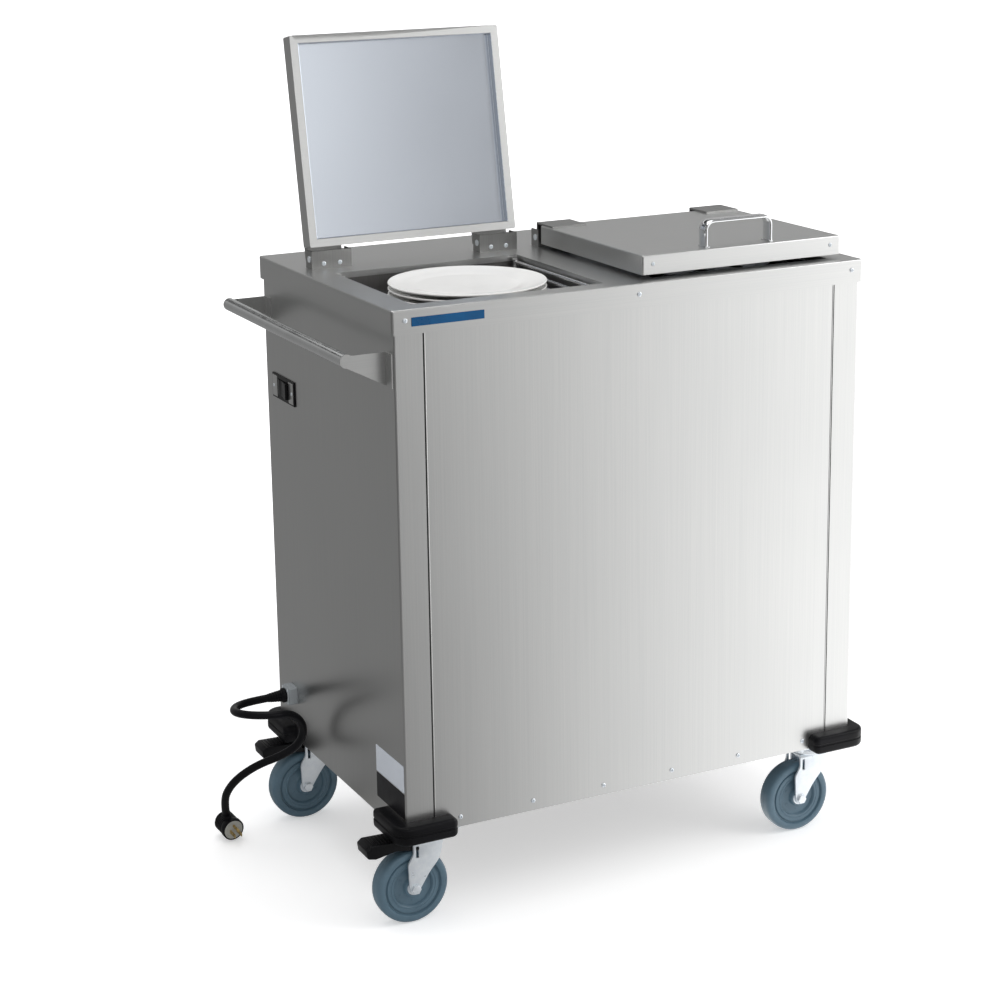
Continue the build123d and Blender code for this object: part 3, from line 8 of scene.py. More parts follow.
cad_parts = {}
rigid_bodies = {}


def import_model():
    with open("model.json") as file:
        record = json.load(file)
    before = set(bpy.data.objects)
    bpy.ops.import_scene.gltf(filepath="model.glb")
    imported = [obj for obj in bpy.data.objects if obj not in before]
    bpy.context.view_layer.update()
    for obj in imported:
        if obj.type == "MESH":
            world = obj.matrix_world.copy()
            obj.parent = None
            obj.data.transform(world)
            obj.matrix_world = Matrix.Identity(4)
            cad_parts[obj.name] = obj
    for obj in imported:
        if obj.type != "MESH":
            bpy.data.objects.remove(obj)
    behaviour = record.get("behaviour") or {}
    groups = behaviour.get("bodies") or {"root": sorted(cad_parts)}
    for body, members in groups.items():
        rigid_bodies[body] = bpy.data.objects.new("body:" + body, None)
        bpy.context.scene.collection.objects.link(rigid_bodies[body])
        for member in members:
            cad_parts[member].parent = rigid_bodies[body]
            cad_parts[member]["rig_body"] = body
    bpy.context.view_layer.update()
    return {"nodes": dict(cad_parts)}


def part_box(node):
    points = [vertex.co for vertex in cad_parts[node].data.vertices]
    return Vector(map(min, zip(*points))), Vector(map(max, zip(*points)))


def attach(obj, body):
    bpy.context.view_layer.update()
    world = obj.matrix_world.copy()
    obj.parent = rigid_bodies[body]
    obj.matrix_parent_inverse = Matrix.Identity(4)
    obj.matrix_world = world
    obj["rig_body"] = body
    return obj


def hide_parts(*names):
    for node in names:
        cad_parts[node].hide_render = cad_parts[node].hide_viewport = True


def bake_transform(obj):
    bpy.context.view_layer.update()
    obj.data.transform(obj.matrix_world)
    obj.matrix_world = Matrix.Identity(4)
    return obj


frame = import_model()

# ---------------- places taken from the frame
# Sizes below are millimetres from the cabinet's front left bottom corner, X right, Y rear, Z up.
MM = 0.001
FRONT = (0.0, -1.0, 0.0)
REAR = (0.0, 1.0, 0.0)
LEFT = (-1.0, 0.0, 0.0)
BODY_INSET = 4.5
DECK_LOW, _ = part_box("top_deck")
PANEL_LOW, PANEL_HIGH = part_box("front_panel")
CORNER = Vector((DECK_LOW.x, DECK_LOW.y, PANEL_LOW.z))


def at(x, y, z):
    """A point in the row frame from millimetres off the cabinet's corner."""
    return CORNER + Vector((x, y, z)) * MM


# ---------------- node tree helpers
def add_node(tree, kind, **values):
    """A shader node with its properties and inputs set by name."""
    node = tree.nodes.new(kind)
    for name, value in values.items():
        if hasattr(node, name):
            setattr(node, name, value)
        else:
            node.inputs[name.replace("_", " ")].default_value = value
    return node


def link(tree, source, target):
    """Connect an output socket to an input socket."""
    tree.links.new(source, target)


def mapped(tree, scale):
    """Object coordinates in metres, multiplied by a scale on each axis."""
    coordinates = tree.nodes.new("ShaderNodeTexCoord")
    mapping = add_node(tree, "ShaderNodeMapping", Scale=scale)
    link(tree, coordinates.outputs["Object"], mapping.inputs["Vector"])
    return mapping.outputs["Vector"]


def noise(tree, scale, detail=2.0, roughness=0.5):
    """A noise value from object coordinates stretched by a scale on each axis."""
    node = add_node(tree, "ShaderNodeTexNoise", Scale=1.0, Detail=detail, Roughness=roughness)
    link(tree, mapped(tree, scale), node.inputs["Vector"])
    return node.outputs["Fac"]


def ranged(tree, value, low, high, start=0.3, end=0.7):
    """A value moved from one range into another."""
    node = add_node(tree, "ShaderNodeMapRange", From_Min=start, From_Max=end, To_Min=low, To_Max=high)
    link(tree, value, node.inputs["Value"])
    return node.outputs["Result"]


def blended(tree, factor, first, second):
    """A colour mixed between two colours or colour sockets."""
    node = tree.nodes.new("ShaderNodeMix")
    node.data_type = "RGBA"
    for socket, colour in ((node.inputs[6], first), (node.inputs[7], second)):
        if isinstance(colour, tuple):
            socket.default_value = (*colour, 1.0)
        else:
            link(tree, colour, socket)
    link(tree, factor, node.inputs[0])
    return node.outputs[2]


def bumped(tree, height, strength, distance):
    """A normal from a height value."""
    node = add_node(tree, "ShaderNodeBump", Strength=strength, Distance=distance)
    link(tree, height, node.inputs["Height"])
    return node.outputs["Normal"]


def mixed(tree, factor, first, second):
    """A shader mixed from the main outputs of two shader nodes."""
    node = tree.nodes.new("ShaderNodeMixShader")
    link(tree, factor, node.inputs["Fac"])
    link(tree, first.outputs[0], node.inputs[1])
    link(tree, second.outputs[0], node.inputs[2])
    return node


def new_material(name, metallic):
    """A material with a Principled shader."""
    material = bpy.data.materials.new(name)
    material.use_nodes = True
    shader = material.node_tree.nodes["Principled BSDF"]
    shader.inputs["Metallic"].default_value = metallic
    return material, material.node_tree, shader


# ---------------- materials
GRAIN_ALONG = 3.0
GRAIN_ACROSS = 800.0
PEBBLES = 900.0


def brushed_steel(name, across, light, dark, roughness, bump):
    """Brushed sheet: streaks that are fine along the axes across the grain, over slow changes of tone."""
    material, tree, shader = new_material(name, 1.0)
    scale = [GRAIN_ACROSS if axis in across else GRAIN_ALONG for axis in "xyz"]
    streaks = noise(tree, scale, detail=3.0, roughness=0.65)
    clouds = noise(tree, (3.0, 3.0, 3.0))
    tone = blended(tree, ranged(tree, streaks, 0.0, 1.0), dark, light)
    smudge = ranged(tree, clouds, 0.0, 0.35)
    link(tree, blended(tree, smudge, tone, dark), shader.inputs["Base Color"])
    rough = tree.nodes.new("ShaderNodeMath")
    rough.operation = "ADD"
    link(tree, ranged(tree, streaks, roughness - 0.008, roughness + 0.008), rough.inputs[0])
    link(tree, ranged(tree, clouds, -0.01, 0.03), rough.inputs[1])
    link(tree, rough.outputs["Value"], shader.inputs["Roughness"])
    if bump:
        link(tree, bumped(tree, streaks, bump, 0.0001), shader.inputs["Normal"])
    return material


def plain_metal(name, light, dark, roughness, spots, bump, metallic):
    """Plated or polished metal with a slight mottle."""
    material, tree, shader = new_material(name, metallic)
    mottle = noise(tree, (spots, spots, spots), detail=4.0, roughness=0.6)
    link(tree, blended(tree, ranged(tree, mottle, 0.0, 1.0), dark, light), shader.inputs["Base Color"])
    link(tree, ranged(tree, mottle, roughness * 0.8, roughness * 1.3), shader.inputs["Roughness"])
    link(tree, bumped(tree, mottle, bump, 0.0003), shader.inputs["Normal"])
    return material


def moulded(name, light, dark, roughness, bump, specular):
    """Moulded rubber or plastic with a fine pebble and worn patches."""
    material, tree, shader = new_material(name, 0.0)
    shader.inputs["Specular IOR Level"].default_value = specular
    pebble = noise(tree, (PEBBLES, PEBBLES, PEBBLES))
    patches = noise(tree, (18.0, 18.0, 18.0), detail=4.0, roughness=0.6)
    link(tree, blended(tree, ranged(tree, patches, 0.0, 1.0), dark, light), shader.inputs["Base Color"])
    link(tree, ranged(tree, patches, roughness + 0.06, roughness - 0.06), shader.inputs["Roughness"])
    link(tree, bumped(tree, pebble, bump, 0.0002), shader.inputs["Normal"])
    return material


STEEL_LIGHT = (0.64, 0.64, 0.63)
STEEL_DARK = (0.585, 0.59, 0.585)
# Name, axes across the grain, light and dark tone, roughness and bump.
BRUSHED = (
    ("steel_upright", "xy", STEEL_LIGHT, STEEL_DARK, 0.29, 0.006),
    ("steel_across", "yz", STEEL_LIGHT, STEEL_DARK, 0.30, 0.006),
    # A much darker copy of the brushed steel: painted shade for the well liner, the heating elements and the
    # bottom pan, which lie in shade.
    ("dark_steel", "xy", (0.26, 0.255, 0.25), (0.19, 0.185, 0.18), 0.4, 0.006),
    # A darker copy of the brushed steel: painted shade for the hinge brackets and lid straps, which sit in
    # shadow under the lids.
    ("bracket_steel_painted_shade", "x", (0.37, 0.37, 0.365), (0.30, 0.30, 0.295), 0.34, 0.006),
    ("lid_inside", "x", (0.575, 0.61, 0.665), (0.56, 0.595, 0.65), 0.18, 0.0),
)
# Name, light and dark tone, roughness, spots to the metre, bump and metallic share.
PLATED = (
    ("bright_wire", (0.90, 0.90, 0.90), (0.78, 0.78, 0.79), 0.14, 60.0, 0.05, 1.0),
    ("chrome", (0.86, 0.87, 0.88), (0.80, 0.81, 0.82), 0.06, 60.0, 0.02, 1.0),
    ("zinc", (0.86, 0.90, 0.93), (0.76, 0.81, 0.86), 0.34, 90.0, 0.04, 0.55),
    ("tube_steel", (0.74, 0.75, 0.75), (0.66, 0.67, 0.67), 0.13, 30.0, 0.02, 1.0),
    ("brass", (0.78, 0.58, 0.24), (0.60, 0.42, 0.16), 0.25, 60.0, 0.05, 1.0),
)
# Name, light and dark tone, roughness, bump and specular level.
MOULDED = (
    ("wheel_rubber", (0.118, 0.198, 0.258), (0.088, 0.153, 0.203), 0.40, 0.15, 0.5),
    ("black_rubber", (0.006, 0.006, 0.008), (0.004, 0.004, 0.005), 0.36, 0.15, 0.16),
    ("black_plastic", (0.006, 0.006, 0.007), (0.003, 0.003, 0.004), 0.32, 0.15, 0.2),
    ("grey_plastic", (0.42, 0.45, 0.47), (0.34, 0.37, 0.39), 0.45, 0.15, 0.5),
    ("plug_plastic", (0.52, 0.52, 0.48), (0.38, 0.38, 0.35), 0.45, 0.15, 0.5),
    ("badge_blue", (0.006, 0.105, 0.270), (0.004, 0.065, 0.180), 0.25, 0.03, 0.3),
    ("white_ware", (0.97, 0.965, 0.95), (0.94, 0.935, 0.92), 0.16, 0.01, 0.5),
    ("pale_label", (0.62, 0.66, 0.72), (0.56, 0.60, 0.66), 0.4, 0.03, 0.5),
    ("black_label", (0.014, 0.014, 0.016), (0.008, 0.008, 0.010), 0.4, 0.03, 0.2),
)
MATERIALS = {row[0]: brushed_steel(*row) for row in BRUSHED}
MATERIALS.update({row[0]: plain_metal(*row) for row in PLATED})
MATERIALS.update({row[0]: moulded(*row) for row in MOULDED})

NODE_MATERIALS = {
    "steel_across": ("top_deck", "push_handle_brackets", "lid_shell"),
    "steel_upright": ("end_panel", "front_panel", "rear_panel"),
    # A darker copy of the brushed steel, as painted shade on the parts that lie in shade in the well and
    # under the cabinet.
    "dark_steel": ("bottom_pan", "heating_elements", "well_liner"),
    # Painted shade: a darker steel for the hinge brackets and lid straps in the shadow under the lids.
    "bracket_steel_painted_shade": ("lid_straps", "hinge_brackets"),
    "lid_inside": ("lid_liner",),
    "bright_wire": ("dispenser_frame", "platform"),
    "chrome": ("lid_handle",),
    "zinc": ("screws", "bolts", "hinge_pins", "springs", "fork", "axle", "top_plates"),
    "tube_steel": ("push_handle_bar",),
    "brass": ("plug_blades",),
    "wheel_rubber": ("wheel",),
    "black_rubber": ("power_cord", "bumper"),
    "black_plastic": ("switch", "plug_body", "pedal"),
    "grey_plastic": ("thermostat", "cord_gland"),
    "badge_blue": ("badge_plate",),
    "white_ware": ("plate_stack",),
}


def finish_node(name, obj):
    """Give a carried-over CAD node its material."""
    for material, parts in NODE_MATERIALS.items():
        if any(part in name for part in parts):
            obj.data.materials.clear()
            obj.data.materials.append(MATERIALS[material])
            return


# ---------------- camera
LENS = 80.84
SENSOR = 36.0
SHIFT_UP = -0.1
CAMERA_PLACE = (-1340.0, -3055.0, 1540.0)
CAMERA_YAW = -26.48
CAMERA_PITCH = 13.75
CAMERA_ROLL = 0.85


def make_camera():
    """The photograph's viewpoint, from the front left and a little above the deck."""
    data = bpy.data.cameras.new("camera")
    data.sensor_width = SENSOR
    data.lens = LENS
    data.shift_y = SHIFT_UP
    camera = place_object("camera", data)
    yaw = Matrix.Rotation(math.radians(CAMERA_YAW), 4, "Z")
    pitch = Matrix.Rotation(math.radians(90.0 - CAMERA_PITCH), 4, "X")
    roll = Matrix.Rotation(math.radians(-CAMERA_ROLL), 4, "Z")
    camera.matrix_world = Matrix.Translation(at(*CAMERA_PLACE)) @ yaw @ pitch @ roll
    bpy.context.scene.camera = camera


# ---------------- mesh helpers
SMOOTH_ANGLE = 32.0
ROUND_STEPS = 6


def rounded(points, radii):
    """A closed outline whose corners are turned by arcs; a radius of 0 keeps a corner sharp."""
    result = []
    count = len(points)
    for index, corner in enumerate(points):
        corner = Vector(corner)
        radius = radii[index] if isinstance(radii, (list, tuple)) else radii
        before = Vector(points[index - 1]) - corner
        after = Vector(points[(index + 1) % count]) - corner
        turn = before.angle(after)
        reach = min(radius / math.tan(turn / 2), before.length * 0.49, after.length * 0.49) if radius else 0.0
        if reach < 1e-6 or turn > math.radians(179):
            result.append(tuple(corner))
            continue
        start, end = corner + before.normalized() * reach, corner + after.normalized() * reach
        for step in range(ROUND_STEPS + 1):
            share = step / ROUND_STEPS
            point = start.lerp(corner, share).lerp(corner.lerp(end, share), share)
            result.append(tuple(point))
    return result


def place_object(name, data):
    """A new object in the scene."""
    obj = bpy.data.objects.new(name, data)
    bpy.context.scene.collection.objects.link(obj)
    return obj


def rectangle(half_x, half_y):
    """A rectangle's corners round the origin."""
    return [(-half_x, -half_y), (half_x, -half_y), (half_x, half_y), (-half_x, half_y)]


def finish_mesh(name, bm, material, matrix=None):
    """An object from a bmesh, in metres, with smooth faces and crisp edges."""
    bmesh.ops.remove_doubles(bm, verts=bm.verts, dist=1e-4)
    if matrix is not None:
        bm.transform(matrix)
    bmesh.ops.recalc_face_normals(bm, faces=bm.faces)
    bm.transform(Matrix.Translation(CORNER) @ Matrix.Scale(MM, 4))
    mesh = bpy.data.meshes.new(name)
    bm.to_mesh(mesh)
    bm.free()
    mesh.materials.append(MATERIALS[material])
    mesh.shade_smooth()
    mesh.set_sharp_from_angle(angle=math.radians(SMOOTH_ANGLE))
    return place_object(name, mesh)


def round_edges(obj, width):
    """Round an object's sharp edges."""
    edges = obj.modifiers.new("edges", "BEVEL")
    edges.width = width * MM
    edges.segments = 2
    edges.limit_method = "ANGLE"
    edges.angle_limit = math.radians(50)


def pointing(place, along):
    """A matrix that moves a piece's Z axis onto a direction and its origin to a place."""
    z_axis = Vector(along).normalized()
    hint = Vector((0.0, 0.0, 1.0))
    if abs(z_axis.dot(hint)) > 0.99:
        hint = Vector(REAR)
    x_axis = hint.cross(z_axis).normalized()
    y_axis = z_axis.cross(x_axis)
    matrix = Matrix((x_axis, y_axis, z_axis)).transposed().to_4x4()
    return Matrix.Translation(Vector(place)) @ matrix


def circle(count, radius=1.0):
    """Points round a circle."""
    angles = [2 * math.pi * step / count for step in range(count)]
    return [(radius * math.cos(angle), radius * math.sin(angle)) for angle in angles]


def skin(bm, rings):
    """Faces between each ring of vertices and the next."""
    for ring, following in zip(rings, rings[1:]):
        for index, vert in enumerate(ring):
            other = (index + 1) % len(ring)
            bm.faces.new((vert, ring[other], following[other], following[index]))


def add_lathe(bm, profile, matrix=Matrix(), steps=64):
    """Turn a closed profile of radius and height about the Z axis."""
    rings = []
    for x, y in circle(steps):
        points = [matrix @ Vector((radius * x, radius * y, height)) for radius, height in profile]
        rings.append([bm.verts.new(point) for point in points])
    skin(bm, rings + rings[:1])


def add_prism(bm, outline, low, high, edge=0.0, matrix=None):
    """A solid from an outline in X and Y between two heights, with rounded rims."""
    piece = bmesh.new()
    bottom = [piece.verts.new((x, y, low)) for x, y in outline]
    top = [piece.verts.new((x, y, high)) for x, y in outline]
    caps = [piece.faces.new(bottom), piece.faces.new(top)]
    count = len(outline)
    for index in range(count):
        following = (index + 1) % count
        piece.faces.new((bottom[index], bottom[following], top[following], top[index]))
    bmesh.ops.recalc_face_normals(piece, faces=piece.faces)
    if edge:
        rims = list({rim for cap in caps for rim in cap.edges})
        bmesh.ops.bevel(piece, geom=rims, offset=edge, segments=3, profile=0.5, affect="EDGES",
                         clamp_overlap=True)
    join(bm, piece, matrix)


def join(bm, piece, matrix=None):
    """Add one bmesh to another."""
    if matrix is not None:
        piece.transform(matrix)
    mesh = bpy.data.meshes.new("joined")
    piece.to_mesh(mesh)
    piece.free()
    bm.from_mesh(mesh)
    bpy.data.meshes.remove(mesh)


def add_sweep(bm, stations):
    """A skin over a row of equal rings of points, closed at both ends."""
    rings = [[bm.verts.new(point) for point in ring] for ring in stations]
    skin(bm, rings)
    bm.faces.new(rings[0])
    bm.faces.new(rings[-1])


def add_tube(bm, points, radius, sides):
    """A round bar along a line of points."""
    stations = []
    side = None
    for index, point in enumerate(points):
        before = Vector(points[max(index - 1, 0)])
        after = Vector(points[min(index + 1, len(points) - 1)])
        along = (after - before).normalized()
        if side is None:
            side = along.orthogonal().normalized()
        side = (side - along * side.dot(along)).normalized()
        other = along.cross(side)
        stations.append([Vector(point) + side * x + other * y for x, y in circle(sides, radius)])
    add_sweep(bm, stations)


def carry(piece, node, replaces=True):
    """A piece rides with a CAD node's body and, where it stands for the node, replaces it."""
    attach(piece, frame["nodes"][node]["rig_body"])
    if replaces:
        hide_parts(node)


def dress(node, name, bm, material, matrix=None, replaces=True):
    """Finish a mesh and let it ride with a CAD node."""
    carry(finish_mesh(name, bm, material, matrix), node, replaces)
    return bpy.data.objects[name]


def place_of(node):
    """A CAD node's lowest and highest corners in cabinet millimetres."""
    low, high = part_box(node)
    return (low - CORNER) / MM, (high - CORNER) / MM


# ---------------- fasteners
SCREW_HEAD = 2.0
SCREW_SHANK = 2.0
CROSS_CUT = 1.5
CROSS_REACH = 2.3
CROSS_HALF = 0.5
CROSS_STEPS = 48
CROSS_LEVELS = ((1.0, 0.0), (1.0, 0.25), (0.94, 0.55), (0.8, 0.8), (0.62, 0.93), (0.45, 0.985), (0.3, 1.0))


def add_cross_head(bm, place, along, radius=4.0, height=2.0):
    """A rounded screw head with a cross recess, standing on a surface."""
    matrix = pointing(place, along)
    rings = []
    for share, rise in CROSS_LEVELS:
        ring = []
        for x, y in circle(CROSS_STEPS, radius * share):
            inside = min(abs(x), abs(y)) < CROSS_HALF and max(abs(x), abs(y)) < CROSS_REACH
            drop = CROSS_CUT * (1.0 - 0.5 * share) if inside else 0.0
            ring.append(bm.verts.new(matrix @ Vector((x, y, height * rise - drop))))
        rings.append(ring)
    skin(bm, rings)
    middle = bm.verts.new(matrix @ Vector((0.0, 0.0, height - CROSS_CUT)))
    for vert, following in zip(rings[-1], rings[-1][1:] + rings[-1][:1]):
        bm.faces.new((vert, following, middle))


def add_hex(bm, matrix, flats, low, high):
    """A hexagonal head or nut whose face is turned down at the corners."""
    reach = flats / math.sqrt(3)
    piece = bmesh.new()
    levels = ((low, 1.0), (high - 1.2, 1.0), (high, 0.86))
    add_sweep(piece, [[(x, y, height) for x, y in circle(6, reach * share)] for height, share in levels])
    bmesh.ops.bevel(piece, geom=list(piece.edges), offset=0.25, segments=2, profile=0.5, affect="EDGES")
    join(bm, piece, matrix)


def solid_boxes(node):
    """The box of each loose solid in a CAD node, in cabinet millimetres."""
    bm = bmesh.new()
    bm.from_mesh(frame["nodes"][node].data)
    bmesh.ops.remove_doubles(bm, verts=bm.verts, dist=1e-6)
    waiting = set(bm.verts)
    boxes = []
    while waiting:
        stack = [waiting.pop()]
        group = []
        while stack:
            vert = stack.pop()
            group.append((vert.co - CORNER) / MM)
            for edge in vert.link_edges:
                other = edge.other_vert(vert)
                if other in waiting:
                    waiting.remove(other)
                    stack.append(other)
        low = Vector([min(point[axis] for point in group) for axis in range(3)])
        high = Vector([max(point[axis] for point in group) for axis in range(3)])
        boxes.append((low, high))
    bm.free()
    return sorted(boxes, key=lambda box: tuple(round(value, 2) for value in box[0]))


def make_front_screws(node):
    """Cross-headed screws over the heads of a node whose screws all face the front."""
    bm = bmesh.new()
    for low, high in solid_boxes(node):
        middle = (low + high) / 2
        seat = (middle.x, low.y + SCREW_HEAD, middle.z)
        tip = high.y - seat[1]
        add_cross_head(bm, seat, FRONT)
        shank = [(0.0, 0.0), (SCREW_SHANK, 0.0), (SCREW_SHANK, tip - SCREW_SHANK), (0.0, tip)]
        add_lathe(bm, shank, pointing(seat, REAR), 16)
    dress(node, node + "_heads", bm, "zinc")


# ---------------- casters
WHEEL_STEPS = 128
# A wheel's side as radius and distance from its middle: the dished web with its rings, then the tread.
WHEEL_WEB = (
    (17.2, 10.6), (19.5, 9.2), (29.5, 8.4), (33.2, 9.0), (34.8, 12.6), (36.2, 13.6), (38.4, 13.6),
    (38.9, 13.0), (39.9, 13.0), (40.4, 13.6), (45.4, 13.5), (46.6, 12.2), (46.9, 11.4), (48.7, 11.4),
)
WHEEL_RIM = (
    (49.1, 12.6), (50.4, 15.2), (52.0, 15.9), (56.6, 15.9), (59.4, 15.1), (61.6, 13.2), (62.8, 10.6),
    (63.3, 7.4), (63.5, 4.0), (63.5, 0.6), (63.2, 0.3),
)
PIP_COUNT = 6
PIP_RING = 24.5
PIP_SEAT = 8.2
PIP_PROFILE = ((0.0, 0.0), (2.2, 0.0), (2.2, 0.7), (1.8, 1.1), (0.0, 1.1))
# Half of a bearing sleeve, as radius and depth under the hub's end.
SLEEVE_PROFILE = ((5.05, 0.0), (7.4, 0.0), (7.8, 0.5), (8.6, 0.9), (12.2, 0.9), (12.4, 1.6))


def make_wheel(node):
    """A moulded wheel: rounded tread, stepped rings, dished web and a hub with bearing sleeves."""
    low, high = place_of(node)
    middle = (low + high) / 2
    hub = (high.y - low.y) / 2
    side = [(12.4, hub - 0.6), (14.6, hub - 0.6), (15.6, hub - 1.8), *WHEEL_WEB, *WHEEL_RIM]
    other = [(radius, -reach) for radius, reach in reversed(side)]
    bm = bmesh.new()
    place = pointing(middle, REAR)
    add_lathe(bm, side + other, place, WHEEL_STEPS)
    for way in (-1, 1):
        for index in range(PIP_COUNT):
            angle = 2 * math.pi * (index + 0.5) / PIP_COUNT
            dot = Vector((PIP_RING * math.cos(angle), PIP_RING * math.sin(angle), way * PIP_SEAT))
            pip_place = place @ Matrix.Translation(dot) @ Matrix.Diagonal((1, 1, way, 1))
            add_lathe(bm, PIP_PROFILE, pip_place, 16)
    dress(node, node + "_tyre", bm, "wheel_rubber")
    bm = bmesh.new()
    for way in (-1, 1):
        sleeve = [(radius, way * (hub - depth)) for radius, depth in SLEEVE_PROFILE]
        sleeve += [(SLEEVE_PROFILE[-1][0], 0.0), (SLEEVE_PROFILE[0][0], 0.0)]
        add_lathe(bm, sleeve, place, 48)
    dress(node, node + "_bearing", bm, "zinc", replaces=False)


AXLE_RADIUS = 5.0
AXLE_HEAD = 6.0
AXLE_FLATS = 15.0
AXLE_END = 2.0
AXLE_LAP = 1.0
THREAD_TURNS = 6
THREAD_PITCH = 0.5
THREAD_DEPTH = 0.4
WASHER_PROFILE = ((4.9, 0.0), (9.0, 0.0), (9.2, 0.3), (9.0, 1.1), (4.9, 1.2))


def make_axle(node):
    """Axle bolt: a hexagonal head and a nut on washers outside the fork, with a turned end."""
    low, high = place_of(node)
    middle = (low + high) / 2
    bm = bmesh.new()
    head = (middle.x, low.y + AXLE_HEAD, middle.z)
    nut = (middle.x, high.y - AXLE_END - AXLE_HEAD, middle.z)
    for seat, along in ((head, FRONT), (nut, REAR)):
        matrix = pointing(seat, along)
        add_hex(bm, matrix, AXLE_FLATS, 0.0, AXLE_HEAD)
        add_lathe(bm, WASHER_PROFILE, matrix, 40)
    length = high.y - low.y - AXLE_HEAD + AXLE_LAP
    shaft = [(0.0, 0.0), (AXLE_RADIUS, 0.0)]
    for turn in range(THREAD_TURNS):
        radius = AXLE_RADIUS - THREAD_DEPTH * (turn % 2)
        shaft.append((radius, length + (turn - THREAD_TURNS) * THREAD_PITCH))
    shaft += [(AXLE_RADIUS - 2 * THREAD_DEPTH, length), (0.0, length)]
    add_lathe(bm, shaft, pointing((middle.x, head[1] - AXLE_LAP, middle.z), REAR), 32)
    dress(node, node + "_bolt", bm, "zinc")


# A fork's leg seen from the side, off the swivel's axis and the crown's top: rear edge, height, front edge.
FORK_OUTLINE = (
    (-33.0, 0.0, 22.0), (-33.0, -8.0, 20.2), (-33.0, -21.0, 17.2), (-37.0, -28.0, 15.6),
    (-41.5, -36.0, 12.4), (-42.6, -41.0, 8.9), (-42.0, -56.0, -4.6), (-41.0, -81.5, -21.0),
    (-40.2, -85.0, -21.8), (-38.0, -89.0, -24.0), (-35.0, -91.0, -27.0), (-32.0, -91.5, -30.0),
)
# The slot's rear and front edges, and its bottom and top.
FORK_SLOT = (-28.6, -23.4, -28.0, -8.0)
FORK_DROPS = (
    -91.5, -91.0, -90.0, -88.5, -86.5, -84.0, -81.5, -75.0, -68.0, -60.0, -52.0, -45.0, -41.0, -36.0,
    -32.0, FORK_SLOT[2], -24.0, -20.0, -16.0, -12.0, FORK_SLOT[3],
)
FORK_HALF = 23.5
FORK_SHEET = 4.0
FORK_BEND = 6.0
FORK_BEND_STEPS = 8
SLOT_FADE = 40.0


def fork_reach(drop):
    """The fork's rear and front edges at a depth under its crown, off the swivel's axis."""
    for first, second in zip(FORK_OUTLINE, FORK_OUTLINE[1:]):
        if second[1] <= drop <= first[1]:
            share = (drop - first[1]) / (second[1] - first[1])
            return tuple(first[index] + (second[index] - first[index]) * share for index in (0, 2))
    return FORK_OUTLINE[-1][0], FORK_OUTLINE[-1][2]


def fork_columns(drop):
    """Four places across a leg at a depth: the slot's edges near the slot, even thirds far below it."""
    rear, front = fork_reach(drop)
    share = min(max((FORK_SLOT[2] - drop) / SLOT_FADE, 0.0), 1.0)
    first = FORK_SLOT[0] + (rear + (front - rear) / 3 - FORK_SLOT[0]) * share
    second = FORK_SLOT[1] + (rear + (front - rear) * 2 / 3 - FORK_SLOT[1]) * share
    return rear, first, second, front


def make_fork(node):
    """A fork pressed from one bent sheet, with a slot through each leg near the crown."""
    low, high = place_of(node)
    caster_x = high.x - FORK_OUTLINE[0][2]
    middle_y, top = (low.y + high.y) / 2, high.z
    path = [(-FORK_HALF, drop, drop) for drop in (*FORK_DROPS, -FORK_BEND)]
    for step in range(1, FORK_BEND_STEPS):
        angle = math.pi / 2 * step / FORK_BEND_STEPS
        inward = FORK_BEND * (1 - math.cos(angle))
        path.append((inward - FORK_HALF, FORK_BEND * (math.sin(angle) - 1), 0.0))
    path.append((FORK_BEND - FORK_HALF, 0.0, 0.0))
    path += [(-y, z, drop) for y, z, drop in reversed(path)]
    bm = bmesh.new()
    rows = []
    for y, z, drop in path:
        columns = fork_columns(min(drop, 0.0))
        rows.append([bm.verts.new((caster_x + x, middle_y + y, top + z)) for x in columns])
    for index, (row, following) in enumerate(zip(rows, rows[1:])):
        in_slot = FORK_SLOT[2] <= min(path[index][2], path[index + 1][2]) < FORK_SLOT[3]
        in_slot = in_slot and max(path[index][2], path[index + 1][2]) <= FORK_SLOT[3]
        for column in range(3):
            if in_slot and column == 1:
                continue
            bm.faces.new((row[column], row[column + 1], following[column + 1], following[column]))
    fork = finish_mesh(node + "_pressing", bm, "zinc")
    outward = sum(1 for face in fork.data.polygons if face.normal.z > 0.9)
    thick = fork.modifiers.new("sheet", "SOLIDIFY")
    thick.thickness = FORK_SHEET * MM
    thick.offset = -1.0 if outward else 1.0
    round_edges(fork, 0.7)
    carry(fork, node)


BUMPER_DEPTH = 24.5
BUMPER_REACH = 108.0
BUMPER_BEND = 3.0
BUMPER_BEND_STEPS = 12
BUMPER_STRAIGHT = 4.0
BUMPER_DOME = 10.0
BUMPER_DOME_STEPS = 6
BUMPER_SQUEEZE = 0.8
GROOVE_DEPTH = 1.8
GROOVE_FLOOR = 1.2
GROOVE_MOUTH = 2.2


def bumper_section(half, push):
    """One ring of a bumper: inner face at 0, outer face at the full depth, grooved in the middle."""
    depth = BUMPER_DEPTH - push
    floor = depth - GROOVE_DEPTH
    lower = [(0.0, -half), (depth, -half), (depth, -GROOVE_MOUTH), (floor, -GROOVE_FLOOR)]
    upper = [(floor, GROOVE_FLOOR), (depth, GROOVE_MOUTH), (depth, half), (0.0, half)]
    return rounded(lower + upper, [1.0, 6.5, 0.8, 0.6, 0.6, 0.8, 6.5, 1.0])


